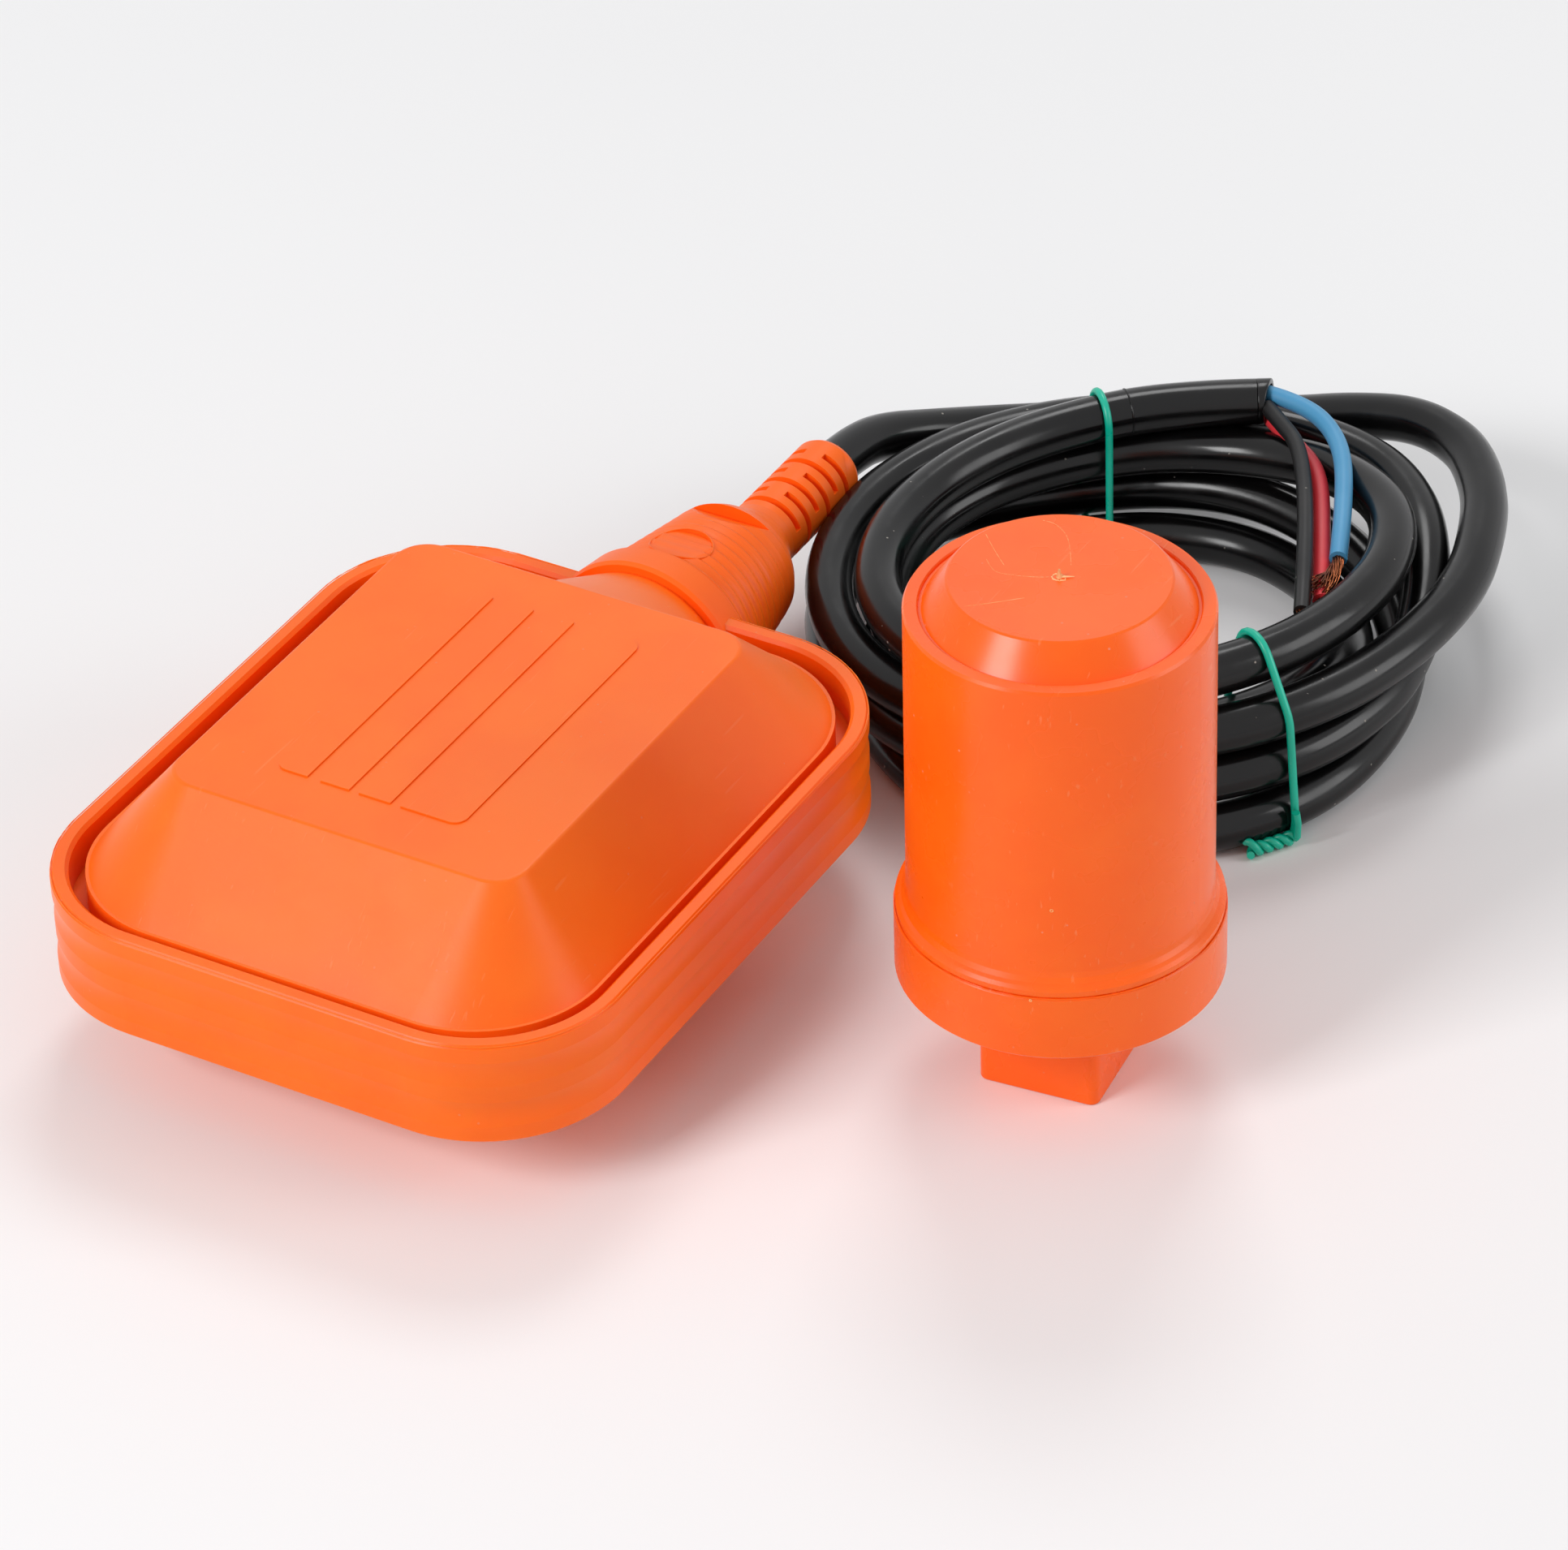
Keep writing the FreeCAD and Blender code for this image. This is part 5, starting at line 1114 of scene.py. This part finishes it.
@dataclass
class Counterweight(Dressed):
    """The loose counterweight with its cap, iron core, gate mark and flash."""

    finishes: dict[str, Finish] = field(default_factory=lambda: {
        "weight_body": WEIGHT, "weight_cap": WEIGHT, "weight_ballast": IRON,
    })
    flash: float = 0.11
    flash_height: float = 31.4
    # the courses of the top disc's scratches, from its middle
    scratches: tuple[tuple[tuple[float, float], ...], ...] = (
        ((-9.5, 12.5), (-7.3, 12.4), (-4.5, 10.6), (-2.2, 7.5), (0.2, 3.3)),
        ((-12.2, -0.8), (-9.4, -3.1), (-6.3, -2.7), (-3.3, -1.7), (-1.2, -0.6)),
        ((-15.5, 5.2), (-12.2, 1.9), (-8.7, -1.3)),
        ((-9.2, -13.6), (-6.5, -11.4), (-1.7, -7.0)),
    )
    # each pit's direction in degrees, distance from the axis, height and radius
    marks: tuple[tuple[float, float, float, float], ...] = (
        (-65.5, 24.12, 47.0, 0.22), (-72.5, 26.08, 31.0, 0.18),
    )

    def middle(self) -> Vector:
        """Returns the counterweight's axis at the floor."""
        low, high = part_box("weight_cap")
        return Vector(((low.x + high.x) / 2, (low.y + high.y) / 2, 0))

    def flash_line(self) -> None:
        """Models the ragged flash round the cap's upper edge."""
        low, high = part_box("weight_cap")
        radius = (high.x - low.x) / 2 - 0.1 * MM
        rng = random.Random(9)
        points = []
        swell = []
        ragged = 1.0
        for step in range(240):
            angle = math.tau * step / 240
            points.append(self.middle() + Vector((radius * math.cos(angle), radius * math.sin(angle),
                                                  self.flash_height * MM)))
            ragged = 0.6 * ragged + 0.4 * rng.choice((0.3, 0.8, 1.0, 1.9))
            swell.append(ragged)
        Bench.dress(Bench.wire(points, self.flash * MM, swell, closed=True, sides=1), "cap_flash", WEIGHT)

    def gate_mark(self) -> None:
        """Models the torn gate left in the middle of the top disc: a low crater, a stub and a flake."""
        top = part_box("weight_body")[1].z
        base = self.middle() + mm(0.0, -0.2, 0.0)
        base.z = top
        rng = random.Random(4)
        ring = []
        swell = []
        for step in range(28):
            angle = math.tau * step / 28
            reach = 0.85 + rng.uniform(-0.12, 0.12)
            ring.append(base + mm(reach * math.cos(angle) * 1.25, reach * math.sin(angle), 0.03))
            swell.append(rng.uniform(0.5, 1.4))
        crater = Bench.wire(ring, 0.12 * MM, swell, closed=True, sides=1)
        bpy.ops.mesh.primitive_cone_add(vertices=11, radius1=0.46 * MM, radius2=0.14 * MM, depth=1.6 * MM,
                                        location=base + mm(0.0, 0.0, 0.7))
        stub = bpy.context.object
        Bench.only(stub)
        bpy.ops.object.mode_set(mode="EDIT")
        bpy.ops.mesh.select_all(action="SELECT")
        bpy.ops.mesh.subdivide(number_cuts=3)
        bpy.ops.transform.vertex_random(offset=0.10 * MM, seed=3)
        Bench.clear()
        Bench.settle(stub, 40)
        flake = Bench.wire([base + mm(0.2, 0.1, 0.1), base + mm(1.0, 0.4, 0.25), base + mm(2.0, 1.1, 0.15)],
                           0.14 * MM, (1.4, 1.0, 0.4), sides=1)
        Bench.dress(Bench.join([crater, stub, flake]), "gate_mark", GATE)

    def hairlines(self) -> None:
        """Lays the few long curved scratches of the top disc as raised hairs, level with its face."""
        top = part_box("weight_body")[1].z
        rng = random.Random(12)
        hairs = []
        for course in self.scratches:
            places = [self.middle() + mm(x, y, 0.0) for x, y in course]
            last = len(places) - 1
            points = []
            swell = []
            for index in range(last):
                near = (places[max(index - 1, 0)], places[index], places[index + 1],
                        places[min(index + 2, last)])
                for part in range(12):
                    spot = catmull(*near, part / 12)
                    points.append(Vector((spot.x, spot.y, top - 0.02 * MM)))
                    swell.append(rng.uniform(0.25, 1.0))
            swell[0] = swell[-1] = 0.1
            hairs.append(Bench.wire(points, 0.065 * MM, swell, sides=1))
        Bench.dress(Bench.join(hairs), "disc_hairlines", GATE)

    def pits(self) -> None:
        """Models the small pit on the body's wall and the flake that hangs at the cap's edge."""
        marks = []
        for angle, radius, height, size in self.marks:
            turn = math.radians(angle)
            out = Vector((math.cos(turn), math.sin(turn), 0))
            bpy.ops.mesh.primitive_torus_add(
                location=self.middle() + out * (radius - 0.02) * MM + mm(0, 0, height),
                rotation=out.to_track_quat("Z", "Y").to_euler(), major_segments=20, minor_segments=6,
                major_radius=size * MM, minor_radius=0.09 * MM)
            ring = bpy.context.object
            Bench.settle(ring, 60)
            marks.append(ring)
        Bench.dress(Bench.join(marks), "wall_pits", GATE)


# ---------------------------------------------------------------- the studio


@dataclass(frozen=True)
class Lamp:
    """One soft lamp of the studio."""

    name: str
    place: Triple
    size: float
    power: float
    colour: Triple = (255, 255, 255)

    def build(self, target: Vector) -> None:
        """Hangs the lamp and points it at a place.

        Args:
            target: The place that it lights.
        """
        data = bpy.data.lights.new(self.name, "AREA")
        data.shape = "SQUARE"
        data.size = self.size
        data.energy = self.power
        data.color = linear(self.colour)[:3]
        lamp = bpy.data.objects.new(self.name, data)
        lamp.location = self.place
        lamp.rotation_euler = (target - Vector(self.place)).to_track_quat("-Z", "Y").to_euler()
        bpy.context.scene.collection.objects.link(lamp)


@dataclass
class Studio:
    """The pale floor, the room's light, the lamps and the camera."""

    floor_colour: Triple = (240, 240, 241)
    room_colour: Triple = (245, 245, 246)
    room_light: float = 0.45
    camera_place: Triple = (472.25, -793.0, 693.3)
    azimuth: float = 30.47
    elevation: float = 35.7526
    roll: float = 0.03
    lens: float = 162.4
    lamps: tuple[Lamp, ...] = (
        Lamp("key", (-0.50, -1.20, 0.95), 0.55, 14.0),
        Lamp("top", (-0.35, 0.85, 1.30), 0.50, 5.0),
        Lamp("side", (1.20, 0.45, 0.55), 0.70, 5.5),
    )

    def build(self) -> None:
        """Sets up the whole studio."""
        self.floor()
        self.room()
        for lamp in self.lamps:
            lamp.build(Vector((0, 0.03, 0.03)))
        self.camera()

    def floor(self) -> None:
        """Lays the pale floor."""
        Bench.clear()
        bpy.ops.mesh.primitive_circle_add(vertices=96, radius=4.0, fill_type="NGON")
        sheet = bpy.context.object
        sheet.name = "floor"
        graph = Graph("floor_white")
        tone = graph.span(graph.noise(3.0, 3.0), 0.3, 0.7, 0.0, 1.0)
        colour = graph.blend(tone, linear(self.floor_colour), linear((242, 242, 243)))
        graph.feed(graph.shader.inputs["Base Color"], colour)
        graph.shader.inputs["Roughness"].default_value = 0.5
        graph.shader.inputs["Specular IOR Level"].default_value = 0.2
        sheet.data.materials.append(graph.material)

    def room(self) -> None:
        """Gives the room its even light, and its pale look where a ray sees it."""
        world = bpy.data.worlds.new("room")
        bpy.context.scene.world = world
        world.use_nodes = True
        tree = world.node_tree
        tree.nodes.clear()
        rays = tree.nodes.new("ShaderNodeLightPath")
        seen = tree.nodes.new("ShaderNodeMath")
        seen.operation = "ADD"
        seen.use_clamp = True
        both = tree.nodes.new("ShaderNodeMath")
        both.operation = "ADD"
        both.use_clamp = True
        tree.links.new(rays.outputs["Is Camera Ray"], both.inputs[0])
        tree.links.new(rays.outputs["Is Glossy Ray"], both.inputs[1])
        tree.links.new(both.outputs[0], seen.inputs[0])
        tree.links.new(rays.outputs["Is Transmission Ray"], seen.inputs[1])
        light = tree.nodes.new("ShaderNodeBackground")
        light.inputs["Color"].default_value = linear((255, 255, 255))
        light.inputs["Strength"].default_value = self.room_light
        look = tree.nodes.new("ShaderNodeBackground")
        look.inputs["Color"].default_value = linear(self.room_colour)
        look.inputs["Strength"].default_value = 1.0
        mix = tree.nodes.new("ShaderNodeMixShader")
        tree.links.new(seen.outputs[0], mix.inputs[0])
        tree.links.new(light.outputs[0], mix.inputs[1])
        tree.links.new(look.outputs[0], mix.inputs[2])
        output = tree.nodes.new("ShaderNodeOutputWorld")
        tree.links.new(mix.outputs[0], output.inputs["Surface"])
        bpy.context.scene.view_settings.view_transform = "Standard"

    def camera(self) -> None:
        """Sets the camera up."""
        turn = math.radians(self.azimuth)
        lift = math.radians(self.elevation)
        back = Vector((math.sin(turn) * math.cos(lift), -math.cos(turn) * math.cos(lift), math.sin(lift)))
        right = Vector((math.cos(turn), math.sin(turn), 0))
        up = back.cross(right)
        tilted = right * math.cos(self.roll) - up * math.sin(self.roll)
        raised = up * math.cos(self.roll) + right * math.sin(self.roll)
        data = bpy.data.cameras.new("camera")
        data.lens = self.lens
        data.sensor_width = 36
        data.sensor_fit = "HORIZONTAL"
        data.clip_start = 0.05
        data.clip_end = 20
        camera = bpy.data.objects.new("camera", data)
        matrix = Matrix((tilted, raised, back)).transposed().to_4x4()
        matrix.translation = mm(*self.camera_place)
        camera.matrix_world = matrix
        bpy.context.scene.collection.objects.link(camera)
        bpy.context.scene.camera = camera


def main() -> None:
    """Builds every sub-assembly in order."""
    logging.basicConfig(level=logging.INFO, format="%(name)s: %(message)s")
    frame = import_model()
    nodes = frame["nodes"]
    Bench.clear()
    Studio().build()
    body = FloatBody()
    body.build(nodes)
    body.flash_line()
    boot = Boot()
    boot.build(nodes)
    boot.disc_edge()
    SwitchWorks().build(nodes)
    weight = Counterweight()
    weight.build(nodes)
    weight.flash_line()
    weight.gate_mark()
    weight.hairlines()
    weight.pits()
    cable = FreeCable()
    line = centreline(cable.build())
    start = cable.place(60.5, 165.3, 29.0)
    for core in CORES:
        core.build(start)
    for tie in TIES:
        tie.build(cable, line)


if __name__ == "__main__":
    main()
